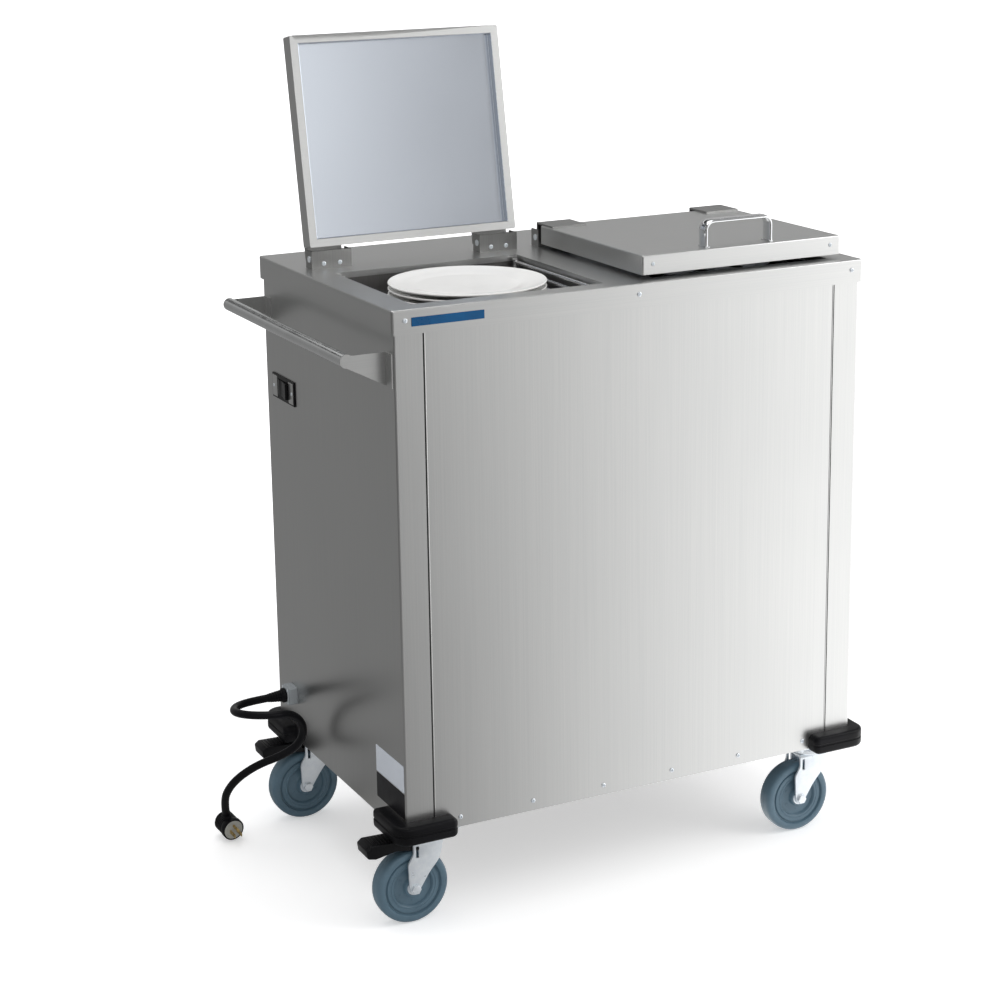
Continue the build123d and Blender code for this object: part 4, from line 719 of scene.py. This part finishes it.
def make_bumper(node):
    """A moulded corner bumper: rounded bar bent round the corner, domed ends and a groove."""
    low, high = place_of(node)
    half = (high.z - low.z) / 2
    is_right, is_rear = "right" in node, "rear" in node
    lines = []
    for step in range(BUMPER_DOME_STEPS + 1):
        angle = math.pi / 2 * step / BUMPER_DOME_STEPS
        reach = BUMPER_REACH - BUMPER_DOME * (1 - math.cos(angle))
        lines.append((reach, BUMPER_DOME * (1 - math.sin(angle)) * BUMPER_SQUEEZE))
    inner = BUMPER_DEPTH
    centre = inner + BUMPER_BEND
    stations = [((x, inner), (0.0, -1.0), squeeze) for x, squeeze in lines]
    stations.append(((centre + BUMPER_STRAIGHT, inner), (0.0, -1.0), 0.0))
    for step in range(1, BUMPER_BEND_STEPS):
        angle = math.pi / 2 * step / BUMPER_BEND_STEPS
        out = (-math.sin(angle), -math.cos(angle))
        stations.append(((centre + out[0] * BUMPER_BEND, centre + out[1] * BUMPER_BEND), out, 0.0))
    stations.append(((inner, centre + BUMPER_STRAIGHT), (-1.0, 0.0), 0.0))
    stations += [((inner, y), (-1.0, 0.0), squeeze) for y, squeeze in reversed(lines)]
    rings = []
    for foot, out, squeeze in stations:
        ring = []
        for depth, height in bumper_section(half - squeeze, squeeze):
            ring.append(Vector((foot[0] + out[0] * depth, foot[1] + out[1] * depth, height + half)))
        rings.append(ring)
    bm = bmesh.new()
    add_sweep(bm, rings)
    turn = Matrix.Diagonal((-1 if is_right else 1, -1 if is_rear else 1, 1, 1))
    corner = (high.x if is_right else low.x, high.y if is_rear else low.y, low.z)
    matrix = Matrix.Translation(corner) @ turn
    dress(node, node + "_moulding", bm, "black_rubber", matrix=matrix)


PEDAL_LENGTH = 88.0
PEDAL_TIP_GAP = 0.2
PEDAL_PIVOT_Z = -31.2
PEDAL_HALF = 21.0
# The tread's side outline off the pin; the first group's X is off the tip.
PEDAL_TIP_POINTS = ((8.0, 19.2), (0.0, 13.0), (2.0, -2.0), (16.0, -5.0))
PEDAL_NECK_POINTS = ((-38.0, 1.0), (-12.0, -2.0), (-12.0, 17.0))
PEDAL_RADII = (3.5, 4.0, 4.0, 5.0, 12.0, 2.0, 2.0)
RIB_COUNT = 7
RIB_START = 11.0
RIB_PITCH = 6.0
RIB_HALF = 17.0
RIB_POINTS = ((0.0, 17.0), (2.6, 17.0), (2.4, 20.0), (0.2, 20.0))
PEDAL_NECK = ((-16.0, -3.5), (0.0, -3.5), (0.0, 4.0), (-16.0, 4.0))
PEDAL_NECK_HALF = 19.2
PEDAL_BOSS = ((2.55, -19.2), (4.2, -19.2), (4.6, -18.8), (4.6, 18.8), (4.2, 19.2), (2.55, 19.2))
PEDAL_PIN = ((0.0, -25.0), (2.2, -25.0), (2.5, -24.7), (2.5, 24.7), (2.2, 25.0), (0.0, 25.0))


def make_pedal(node):
    """A brake pedal: a wedge tread with cross ribs, a neck between the fork's legs and its pin."""
    low, high = place_of(node)
    tip = -PEDAL_LENGTH
    pin = Vector((low.x - PEDAL_TIP_GAP - tip, (low.y + high.y) / 2, PEDAL_PIVOT_Z))
    upright = Matrix(((1, 0, 0, pin.x), (0, 0, -1, pin.y), (0, 1, 0, pin.z), (0, 0, 0, 1)))
    outline = [(tip + x, z) for x, z in PEDAL_TIP_POINTS] + list(PEDAL_NECK_POINTS)
    bm = bmesh.new()
    add_prism(bm, rounded(outline, PEDAL_RADII), -PEDAL_HALF, PEDAL_HALF, 2.5, upright)
    for index in range(RIB_COUNT):
        start = tip + RIB_START + index * RIB_PITCH
        rib = rounded([(start + x, z) for x, z in RIB_POINTS], [0.0, 0.0, 0.9, 0.9])
        add_prism(bm, rib, -RIB_HALF, RIB_HALF, 0.6, upright)
    add_prism(bm, rounded(PEDAL_NECK, 0.8), -PEDAL_NECK_HALF, PEDAL_NECK_HALF, 0.8, upright)
    across = pointing(pin, REAR)
    add_lathe(bm, PEDAL_BOSS, across, 32)
    add_lathe(bm, PEDAL_PIN, across, 24)
    dress(node, node + "_lever", bm, "black_plastic")


# ---------------- lids
BAIL_HALF = 66.0
BAIL_RISE = 45.0
BAIL_CORNER = 14.0
BAIL_CORNER_STEPS = 12
BAIL_STRAP = 7.0
BAIL_WIDTH = 24.0
BAIL_SETBACK = 24.0
BAIL_SECTION_STEPS = 24
BAIL_SECTION_POWER = 0.8
FOOT_HALF = 4.6
FOOT_LENGTH_HALF = 13.0
PIN_PLACE = (398.0, 881.0)
OPEN_ANGLE = 100.0
SKIRT_SCREW_INSET = 20.0
SKIRT_SCREW_RISE = 17.0


def squared(value, width):
    """One coordinate of an oval that is brought nearer to a box."""
    return math.copysign(abs(value) ** BAIL_SECTION_POWER, value) * width / 2


def make_bail(side):
    """A polished strap bail with rounded edges, standing on two feet."""
    node = side + "_lid_handle"
    bm = bmesh.new()
    post, top = BAIL_HALF - BAIL_STRAP / 2, BAIL_RISE - BAIL_STRAP / 2
    line = [Vector(point) for point in ((-post, 0.0), (-post, top), (post, top), (post, 0.0))]
    turned = [line[0]]
    for before, here, after in zip(line, line[1:], line[2:]):
        start = here + (before - here).normalized() * BAIL_CORNER
        end = here + (after - here).normalized() * BAIL_CORNER
        centre = start + end - here
        first = math.atan2(start.y - centre.y, start.x - centre.x)
        for step in range(BAIL_CORNER_STEPS + 1):
            angle = first - math.pi / 2 * step / BAIL_CORNER_STEPS
            turned.append(centre + Vector((math.cos(angle), math.sin(angle))) * BAIL_CORNER)
    turned.append(line[-1])
    section = [(squared(y, BAIL_WIDTH), squared(t, BAIL_STRAP)) for y, t in circle(BAIL_SECTION_STEPS)]
    rings = []
    for before, here, after in zip(turned[:1] + turned, turned, turned[1:] + turned[-1:]):
        along = (after - before).normalized()
        out = Vector((-along.y, along.x))
        rings.append([Vector((here.x + out.x * t, y, here.y + out.y * t)) for y, t in section])
    add_sweep(bm, rings)
    foot = rounded(rectangle(FOOT_HALF, FOOT_LENGTH_HALF), 3.0)
    for way in (-1, 1):
        add_prism(bm, foot, 0.0, 1.2, 0.5, Matrix.Translation((way * (BAIL_HALF - FOOT_HALF), 0.0, 0.0)))
    lid_low, lid_high = closed_lid(side)
    matrix = Matrix.Translation(((lid_low.x + lid_high.x) / 2, lid_low.y + BAIL_SETBACK, lid_high.z))
    if side == "left":
        matrix = open_lid_turn() @ matrix
    dress(node, node + "_bail", bm, "chrome", matrix=matrix)


def closed_lid(side):
    """A lid shell's box where it is closed: its own X, and the closed right lid's Y and Z."""
    low, high = place_of("right_lid_shell")
    own_low, own_high = place_of(side + "_lid_shell")
    return Vector((own_low.x, low.y, low.z)), Vector((own_high.x, high.y, high.z))


def open_lid_turn():
    """The turn that takes a closed lid's piece to where the open lid leans."""
    pin = Vector((0.0, *PIN_PLACE))
    turn = Matrix.Rotation(math.radians(-OPEN_ANGLE), 4, "X")
    return Matrix.Translation(pin) @ turn @ Matrix.Translation(-pin)


def make_skirt_screws(side):
    """Two small screws near the ends of a lid's front skirt."""
    low, high = closed_lid(side)
    bm = bmesh.new()
    for x in (low.x + SKIRT_SCREW_INSET, high.x - SKIRT_SCREW_INSET):
        add_cross_head(bm, (x, low.y, low.z + SKIRT_SCREW_RISE), FRONT, 3.4, 1.4)
    matrix = open_lid_turn() if side == "left" else None
    dress(side + "_lid_shell", side + "_skirt_screws", bm, "zinc", matrix=matrix, replaces=False)


# ---------------- plates and lift
PLATE_PITCH = 9.0
PLATE_COUNT = 20
# A plate's section as radius and height: foot ring, underside, rolled rim, then the well's upper face.
PLATE_SECTION = (
    (0.0, 3.2), (66.0, 3.0), (66.4, 0.3), (68.0, 0.0), (70.4, 0.0), (72.2, 0.5), (77.0, 2.8),
    (96.0, 6.4), (114.0, 9.6), (128.4, 12.4), (129.8, 13.6), (130.0, 14.9), (129.0, 16.0), (127.2, 15.9),
    (120.0, 13.6), (104.0, 11.6), (94.0, 10.6), (88.0, 9.6), (82.0, 9.0), (0.0, 9.0),
)


def make_plates():
    """A stack of china plates with a rolled rim, a soft well and a foot ring."""
    low, high = place_of("left_plate_stack")
    middle = (low + high) / 2
    bm = bmesh.new()
    for index in range(PLATE_COUNT):
        place = Matrix.Translation((middle.x, middle.y, low.z + PLATE_PITCH * index))
        add_lathe(bm, PLATE_SECTION, place, 96)
    dress("left_plate_stack", "china_plates", bm, "white_ware")


SPRING_TURNS = 44
SPRING_COIL = 5.8
SPRING_WIRE = 1.1
SPRING_HOOK = 9.0
SPRING_STEPS = 12


def make_springs(side):
    """Wound extension springs with a hook at each end."""
    node = side + "_lift_springs"
    for number, (low, high) in enumerate(solid_boxes(node)):
        x, y = (low.x + high.x) / 2, (low.y + high.y) / 2
        first, last = low.z + SPRING_HOOK, high.z - SPRING_HOOK
        points = [(x, y, low.z), (x, y, low.z + SPRING_HOOK / 2)]
        steps = SPRING_TURNS * SPRING_STEPS
        for step in range(steps + 1):
            angle = 2 * math.pi * step / SPRING_STEPS
            height = first + (last - first) * step / steps
            points.append((x + SPRING_COIL * math.cos(angle), y + SPRING_COIL * math.sin(angle), height))
        points += [(x, y, high.z - SPRING_HOOK / 2), (x, y, high.z)]
        bm = bmesh.new()
        add_tube(bm, points, SPRING_WIRE, 6)
        coil = finish_mesh(f"{side}_spring_{number + 1}", bm, "zinc")
        coil.data.shade_smooth()
        if number == 0:
            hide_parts(node)
        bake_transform(coil)


# ---------------- plug, gland and switch
PLUG_AXIS = Vector((0.0868, -0.9924, -0.0872))
PLUG_FACE = Vector((-126.5, 466.8, -142.3))
PLUG_END = ((0.0, -44.0), (13.6, -44.0), (17.0, -42.2), (19.0, -39.0))
PLUG_RIBS = 5
PLUG_RIB_START = -36.5
PLUG_RIB_PITCH = 5.0
PLUG_RIB = ((19.0, 0.0), (18.0, 0.8), (18.0, 2.2), (19.0, 3.0))
PLUG_MOUTH = ((20.0, -10.0), (20.0, -1.0), (19.4, 0.0), (17.6, 0.0), (17.4, -1.6), (0.0, -1.6))
PLUG_FACE_SECTION = (
    (0.0, -3.0), (17.3, -3.0), (17.3, -0.5), (16.8, 0.0), (14.2, 0.0), (13.9, -0.4), (13.5, -0.4),
    (13.2, 0.0), (0.0, 0.0),
)
NECK_RINGS = 6
NECK_START = 2.5
NECK_PITCH = 4.6
NECK_RADIUS = 8.0
NECK_GROWTH = 0.8
NECK_RING = ((0.0, 0.0), (0.5, 0.6), (0.5, 2.2), (-0.3, 3.0))


def ringed(count, start, pitch, radius, growth, ring):
    """A section's repeated rings, each a step along and a little wider than the one before."""
    return [
        (radius + index * growth + outward, start + index * pitch + height)
        for index in range(count)
        for outward, height in ring
    ]


def make_plug():
    """A round rubber plug with grip ribs, a pale face set into its rim, and a neck on the cord."""
    ribs = ringed(PLUG_RIBS, PLUG_RIB_START, PLUG_RIB_PITCH, 0.0, 0.0, PLUG_RIB)
    bm = bmesh.new()
    add_lathe(bm, [*PLUG_END, *ribs, *PLUG_MOUTH], pointing(PLUG_FACE, PLUG_AXIS), 64)
    last, before = Vector(CORD_POINTS[-1]), Vector(CORD_POINTS[-2])
    rings = ringed(NECK_RINGS, NECK_START, NECK_PITCH, NECK_RADIUS, NECK_GROWTH, NECK_RING)
    neck = [(7.1, 0.0), (NECK_RADIUS, 0.0), *rings, (12.4, 32.0), (0.0, 32.0), (0.0, 1.0), (7.1, 1.0)]
    add_lathe(bm, neck, pointing(last, last - before), 40)
    shell = dress("plug_body", "plug_shell", bm, "black_rubber")
    bm = bmesh.new()
    add_lathe(bm, PLUG_FACE_SECTION, pointing(PLUG_FACE, PLUG_AXIS), 64)
    return [shell, dress("plug_body", "plug_face", bm, "plug_plastic", replaces=False)]


GLAND_PLACE = (BODY_INSET, 483.0, 86.0)
GLAND_HALF = 16.0
GLAND_LID_HALF = 15.6
GLAND_CORNER = 4.0
GLAND_SCREW = 11.8
NUT_RADII = (13.0, 12.2)
NUT_STEPS = 72
NUT_NOTCHES = 12
SLEEVE_RINGS = 5
SLEEVE_RING = ((0.0, 0.0), (0.0, 2.6), (-0.9, 3.1), (-0.9, 3.9))


def facing_left(x, y=0.0, z=0.0):
    """A matrix that lays an outline of Y and Z on a face at X, with its thickness to the left."""
    return Matrix(((0, 0, -1, x), (1, 0, 0, y), (0, 1, 0, z), (0, 0, 0, 1)))


def make_gland():
    """The gland: a box with a lid and four screws, a ribbed nut and a tapered sleeve on the cord."""
    x, y, z = GLAND_PLACE
    left = facing_left(x, y, z)
    bm = bmesh.new()
    add_prism(bm, rounded(rectangle(GLAND_HALF, GLAND_HALF), GLAND_CORNER), 0.0, 15.0, 0.6, left)
    add_prism(bm, rounded(rectangle(GLAND_LID_HALF, GLAND_LID_HALF), GLAND_CORNER), 15.0, 18.0, 1.0, left)
    add_lathe(bm, [(5.0, 0.0), (12.9, 0.0), (12.9, -7.1), (5.0, -7.1)], left, 32)
    box = dress("cord_gland", "gland_box", bm, "grey_plastic")
    bm = bmesh.new()
    notch = NUT_STEPS // NUT_NOTCHES
    outer, inner = (circle(NUT_STEPS, radius) for radius in NUT_RADII)
    nut = [outer[step] if step % notch < notch - 2 else inner[step] for step in range(NUT_STEPS)]
    add_prism(bm, nut, 18.0, 24.0, 0.8, left)
    rings = ringed(SLEEVE_RINGS, 26.0, 4.4, 10.4, -0.5, SLEEVE_RING)
    sleeve = [(7.05, 22.0), (11.5, 22.0), (11.5, 25.0), *rings, (7.9, 49.0), (7.8, 50.0), (7.05, 50.0)]
    add_lathe(bm, sleeve, left, 40)
    collar = dress("cord_gland", "gland_nut", bm, "black_rubber", replaces=False)
    bm = bmesh.new()
    for way_y, way_z in rectangle(1, 1):
        place = (x - 18.0, y + way_y * GLAND_SCREW, z + way_z * GLAND_SCREW)
        add_cross_head(bm, place, LEFT, 2.2, 0.8)
    return [box, collar, dress("cord_gland", "gland_screws", bm, "zinc", replaces=False)]


# The black bezel left showing round the steel strips and the rocker is painted shade, standing for the shadow
# gap round the switch's plate.
TRIM_INSET = 3.0
TRIM_ROCKER_GAPS = (3.0, 1.5)
TRIM_SCREW_INSET = 9.0


def make_switch_plate():
    """A steel trim plate on the switch's bezel, and two screws."""
    low, high = place_of("switch_bezel")
    rocker_low, rocker_high = place_of("rocker_switch")
    bm = bmesh.new()
    half_z = (high.z - low.z) / 2 - TRIM_INSET
    front_strip = (low.y + TRIM_INSET, rocker_low.y - TRIM_ROCKER_GAPS[0])
    rear_strip = (rocker_high.y + TRIM_ROCKER_GAPS[1], high.y - TRIM_INSET)
    for first, last in (front_strip, rear_strip):
        out = facing_left(low.x, (first + last) / 2, (low.z + high.z) / 2)
        add_prism(bm, rounded(rectangle((last - first) / 2, half_z), 1.5), -0.1, 0.8, 0.3, out)
    dress("switch_bezel", "switch_trim", bm, "steel_upright", replaces=False)
    bm = bmesh.new()
    for y in (low.y + TRIM_SCREW_INSET, high.y - TRIM_SCREW_INSET):
        add_cross_head(bm, (low.x - 0.8, y, (low.z + high.z) / 2), LEFT, 3.0, 1.0)
    dress("switch_bezel", "switch_screws", bm, "zinc", replaces=False)


SEAMS = ((54.3, 1), (812.7, -1))
SEAM_HEIGHTS = (1.0, 825.0)
# The black strip on each seam is painted shade for the shadow in the seam's gap: its half width, thickness
# and sink follow.
SEAM_SHADE_HALF = 0.9
SEAM_SHADE_THICK = 0.5
SEAM_SHADE_SINK = 0.15
BEAD_RADIUS = 1.1
BEAD_FLATNESS = 0.6
BEAD_OFFSET = 2.0
BEAD_STEPS = 12
# Name, material, slot and heights of the two bare plates on the left end, and their reach along it.
BLANK_PLATES = (
    ("pale_plate", "pale_label", "white_ware", (76.0, 122.0)),
    ("black_plate", "black_label", "black_plastic", (31.0, 74.0)),
)
BLANK_PLATE_Y = (8.0, 118.0)
BLANK_PLATE_CORNER = 2.0
BLANK_PLATE_SHEET = 0.5


def make_seams():
    """A black strip along both seams of the front panel, as painted shade: the seam is real, and the strip's
    darkness stands for the shadow in its gap. A folded bead runs beside each strip.
    """
    angles = [math.pi * step / BEAD_STEPS for step in range(BEAD_STEPS + 1)]
    bead = [(BEAD_RADIUS * math.cos(angle), BEAD_RADIUS * math.sin(angle)) for angle in angles]
    forward = Matrix(((1, 0, 0, 0), (0, -1, 0, BODY_INSET), (0, 0, 1, 0), (0, 0, 0, 1)))
    dark, light = bmesh.new(), bmesh.new()
    for seam, way in SEAMS:
        shade_strip = [(seam + x, y - SEAM_SHADE_SINK) for x, y in rectangle(SEAM_SHADE_HALF, SEAM_SHADE_THICK / 2)]
        add_prism(dark, shade_strip, *SEAM_HEIGHTS, matrix=forward)
        fold = [(seam + way * (BEAD_OFFSET + x), y * BEAD_FLATNESS) for x, y in bead]
        add_prism(light, fold, *SEAM_HEIGHTS, matrix=forward)
    dress("front_panel", "seam_shade_strips", dark, "black_rubber", replaces=False)
    dress("front_panel", "seam_folds", light, "steel_upright", replaces=False)


def make_blank_plates():
    """Two bare thin plates low on the left end: a pale one above a black one."""
    middle_y = sum(BLANK_PLATE_Y) / 2
    half_y = (BLANK_PLATE_Y[1] - BLANK_PLATE_Y[0]) / 2
    for name, material, slot, (low, high) in BLANK_PLATES:
        outline = rounded(rectangle(half_y, (high - low) / 2), BLANK_PLATE_CORNER)
        bm = bmesh.new()
        place = facing_left(BODY_INSET, middle_y, (low + high) / 2)
        add_prism(bm, outline, 0.0, BLANK_PLATE_SHEET, 0.15, place)
        dress("left_end_panel", name, bm, material, replaces=False)


SOFTENED = (
    "badge_plate", "left_lid_shell", "right_lid_shell", "left_lid_liner", "right_lid_liner",
    "switch_bezel", "rocker_switch", "plug_blades",
)


def soften(node):
    """Rounded edges on a CAD node's own shape."""
    obj = frame["nodes"][node]
    weld = obj.modifiers.new("weld", "WELD")
    weld.merge_threshold = 0.01 * MM
    round_edges(obj, 0.6)


# ---------------- cord
CORD_DIAMETER = 14.0
CORD_POINTS = [
    (-45.5, 483.0, 86.0), (-85.5, 483.0, 86.0), (-119.0, 459.0, 90.0), (-132.0, 420.0, 97.0),
    (-119.0, 381.0, 103.0), (-86.0, 357.0, 105.0), (-48.0, 357.0, 102.0), (-24.5, 363.0, 72.0),
    (-30.5, 375.0, 34.5), (-62.0, 389.0, 13.5), (-96.0, 406.0, -1.0), (-124.0, 425.0, -24.0),
    (-140.0, 444.0, -51.0), (-143.0, 463.0, -81.0), (-135.5, 478.0, -112.0),
]


def make_cord():
    """The power cord as one smooth spline from the gland to the plug."""
    curve = bpy.data.curves.new("power_lead", "CURVE")
    curve.dimensions = "3D"
    curve.bevel_depth = CORD_DIAMETER / 2 * MM
    curve.bevel_resolution = 8
    curve.resolution_u = 16
    curve.use_fill_caps = True
    spline = curve.splines.new("NURBS")
    spline.points.add(len(CORD_POINTS) - 1)
    for point, place in zip(spline.points, CORD_POINTS):
        point.co = (*at(*place), 1.0)
    spline.order_u = 3
    spline.use_endpoint_u = True
    lead = place_object("power_lead", curve)
    curve.materials.append(MATERIALS["black_rubber"])
    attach(lead, "cabinet")
    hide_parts("power_cord")
    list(make_gland())
    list(make_plug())


# ---------------- studio
FLOOR_HALF = 40.0
FLOOR_LIFT = 0.42
FLOOR_NEAR = 0.9
FLOOR_FAR = 2.4
WORLD_FILL = 0.62
# Two fixed points on the floor, behind the cart and before it. The shades that glossy rays see there fan
# out from these, so that an upright sheet mirrors one shade from top to bottom.
FRONT_FAN = (-1.747, 2.783, 0.0)
END_FAN = (0.942, -3.337, 0.0)
# What the polished metal sees around the cart, as a share of a turn from the left, by way of the front.
AROUND_LOW = (
    (0.00, 0.08), (0.12, 0.10), (0.298, 0.25), (0.314, 0.32), (0.352, 1.76), (0.42, 1.80),
    (0.50, 1.40), (0.62, 0.80), (0.74, 0.32), (0.80, 0.27), (0.93, 0.12),
)
AROUND_HIGH = (
    (0.00, 0.30), (0.16, 0.55), (0.300, 1.75), (0.332, 0.02), (0.46, 0.95), (0.60, 0.54),
    (0.70, 0.40), (0.93, 0.26),
)
# Shares of that level by the height of a direction: bright strips and dark bands one above the other.
SKY_BANDS = (
    (0.00, 1.0), (0.13, 0.80), (0.24, 1.15), (0.33, 1.10), (0.36, 0.12), (0.41, 0.12), (0.43, 2.6),
    (0.47, 2.6), (0.49, 0.12), (0.62, 0.12), (0.66, 1.0),
)
# Heights of a direction at which the low levels give way to the high ones, and those to one level.
LOW_BLEND = (0.0, 0.06)
TOP_BLEND = (0.45, 0.6)
TOP_LEVEL = (0.42, 0.42, 0.42)
FAN_BLEND = (-0.2, 0.2)


def place_stops(color_ramp, stops):
    """Set a ramp's grey stops."""
    for index, (share, level) in enumerate(stops):
        if index < 2:
            stop = color_ramp.elements[index]
            stop.position = share
        else:
            stop = color_ramp.elements.new(share)
        stop.color = (level, level, level, 1.0)


def surround(tree, place, stops, centre=(0.0, 0.0, 0.0)):
    """Grey levels that change with the heading of a place or direction from a centre."""
    moved = add_node(tree, "ShaderNodeVectorMath", operation="SUBTRACT")
    link(tree, place, moved.inputs[0])
    moved.inputs[1].default_value = centre
    heading = add_node(tree, "ShaderNodeTexGradient", gradient_type="RADIAL")
    link(tree, moved.outputs["Vector"], heading.inputs["Vector"])
    ramp = tree.nodes.new("ShaderNodeValToRGB")
    place_stops(ramp.color_ramp, stops)
    link(tree, heading.outputs["Fac"], ramp.inputs["Fac"])
    return ramp.outputs["Color"]


def seen_directly(tree, path):
    """1 for the camera's and through-glass rays, 0 for the rest."""
    either = add_node(tree, "ShaderNodeMath", operation="MAXIMUM")
    link(tree, path.outputs["Is Camera Ray"], either.inputs[0])
    link(tree, path.outputs["Is Transmission Ray"], either.inputs[1])
    return either.outputs["Value"]


def make_floor():
    """A wide pale floor: it keeps the shadow, fades to white, and metal sees it by heading."""
    bm = bmesh.new()
    corners = [(-1, -1), (1, -1), (1, 1), (-1, 1)]
    bm.faces.new([bm.verts.new((x * FLOOR_HALF, y * FLOOR_HALF, 0.0)) for x, y in corners])
    mesh = bpy.data.meshes.new("floor")
    bm.to_mesh(mesh)
    bm.free()
    material, tree, shader = new_material("floor", 0.0)
    shader.inputs["Roughness"].default_value = 0.9
    shader.inputs["Base Color"].default_value = (0.93, 0.93, 0.935, 1.0)
    path = tree.nodes.new("ShaderNodeLightPath")
    place = tree.nodes.new("ShaderNodeTexCoord").outputs["Object"]
    length = add_node(tree, "ShaderNodeVectorMath", operation="LENGTH")
    link(tree, place, length.inputs[0])
    lift = ranged(tree, length.outputs["Value"], FLOOR_LIFT, 1.0, FLOOR_NEAR, FLOOR_FAR)
    glow = add_node(tree, "ShaderNodeEmission", Color=(1.0, 1.0, 1.0, 1.0))
    strength = add_node(tree, "ShaderNodeMath", operation="MULTIPLY")
    link(tree, lift, strength.inputs[0])
    link(tree, seen_directly(tree, path), strength.inputs[1])
    link(tree, strength.outputs["Value"], glow.inputs["Strength"])
    total = tree.nodes.new("ShaderNodeAddShader")
    link(tree, shader.outputs["BSDF"], total.inputs[0])
    link(tree, glow.outputs["Emission"], total.inputs[1])
    mirrored = add_node(tree, "ShaderNodeEmission", Strength=1.0)
    split = tree.nodes.new("ShaderNodeSeparateXYZ")
    link(tree, place, split.inputs["Vector"])
    behind = ranged(tree, split.outputs["Y"], 0.0, 1.0, *FAN_BLEND)
    front = surround(tree, place, AROUND_LOW, FRONT_FAN)
    rear = surround(tree, place, AROUND_LOW, END_FAN)
    link(tree, blended(tree, behind, front, rear), mirrored.inputs["Color"])
    both = mixed(tree, path.outputs["Is Glossy Ray"], total, mirrored)
    link(tree, both.outputs["Shader"], tree.nodes["Material Output"].inputs["Surface"])
    mesh.materials.append(material)
    place_object("floor", mesh)


def make_world():
    """White to the camera, graded by heading in reflections, and a soft fill on the object."""
    world = bpy.data.worlds.new("studio")
    bpy.context.scene.world = world
    world.use_nodes = True
    tree = world.node_tree
    tree.nodes.clear()
    output = tree.nodes.new("ShaderNodeOutputWorld")
    path = tree.nodes.new("ShaderNodeLightPath")
    fill = add_node(tree, "ShaderNodeBackground", Color=(1.0, 1.0, 1.0, 1.0), Strength=WORLD_FILL)
    white = add_node(tree, "ShaderNodeBackground", Color=(1.0, 1.0, 1.0, 1.0), Strength=1.0)
    mirrored = add_node(tree, "ShaderNodeBackground", Strength=1.0)
    direction = tree.nodes.new("ShaderNodeTexCoord").outputs["Generated"]
    split = tree.nodes.new("ShaderNodeSeparateXYZ")
    link(tree, direction, split.inputs["Vector"])
    low = surround(tree, direction, AROUND_LOW)
    high = surround(tree, direction, AROUND_HIGH)
    bands = tree.nodes.new("ShaderNodeValToRGB")
    place_stops(bands.color_ramp, SKY_BANDS)
    link(tree, split.outputs["Z"], bands.inputs["Fac"])
    lower = blended(tree, ranged(tree, split.outputs["Z"], 0.0, 1.0, *LOW_BLEND), low, high)
    top = ranged(tree, split.outputs["Z"], 0.0, 1.0, *TOP_BLEND)
    upper = blended(tree, top, lower, TOP_LEVEL)
    shade = add_node(tree, "ShaderNodeMix", data_type="RGBA", blend_type="MULTIPLY")
    shade.inputs[0].default_value = 1.0
    link(tree, upper, shade.inputs[6])
    link(tree, bands.outputs["Color"], shade.inputs[7])
    link(tree, shade.outputs[2], mirrored.inputs["Color"])
    plain = mixed(tree, seen_directly(tree, path), fill, white)
    both = mixed(tree, path.outputs["Is Glossy Ray"], plain, mirrored)
    link(tree, both.outputs["Shader"], output.inputs["Surface"])


def add_lamp(name, place, target, width, height, power):
    """A soft rectangular lamp aimed at a point."""
    data = bpy.data.lights.new(name, "AREA")
    data.shape = "RECTANGLE"
    data.size = width
    data.size_y = height
    data.energy = power
    data.specular_factor = 0.1
    lamp = place_object(name, data)
    place, target = Vector(place), Vector(target)
    lamp.location = place
    lamp.rotation_mode = "QUATERNION"
    lamp.rotation_quaternion = (target - place).to_track_quat("-Z", "Y")


def make_lamps():
    """A large key lamp from the right front and a weaker one above."""
    add_lamp("key_lamp", (2.6, -1.8, 2.2), (0.0, 0.0, 0.6), 2.2, 2.2, 45.0)
    add_lamp("top_lamp", (-0.3, 0.4, 3.4), (0.0, 0.0, 0.6), 2.6, 2.0, 30.0)


# ---------------- build
def main():
    """Dress the frame and set the studio."""
    bpy.context.scene.view_settings.view_transform = "Standard"
    make_camera()
    for name, obj in frame["nodes"].items():
        finish_node(name, obj)
    for node in SOFTENED:
        soften(node)
    make_cord()
    make_front_screws("cabinet_screws")
    make_front_screws("hinge_screws")
    for corner in ("front_left", "front_right", "rear_left", "rear_right"):
        make_wheel(corner + "_caster_wheel")
        make_axle(corner + "_caster_axle")
        make_fork(corner + "_caster_fork")
        make_bumper(corner + "_bumper")
    for corner in ("front_left", "rear_left"):
        make_pedal(corner + "_brake_pedal")
    for side in ("left", "right"):
        make_bail(side)
        make_skirt_screws(side)
        make_springs(side)
    make_plates()
    make_switch_plate()
    make_blank_plates()
    make_seams()
    make_floor()
    make_world()
    make_lamps()


main()
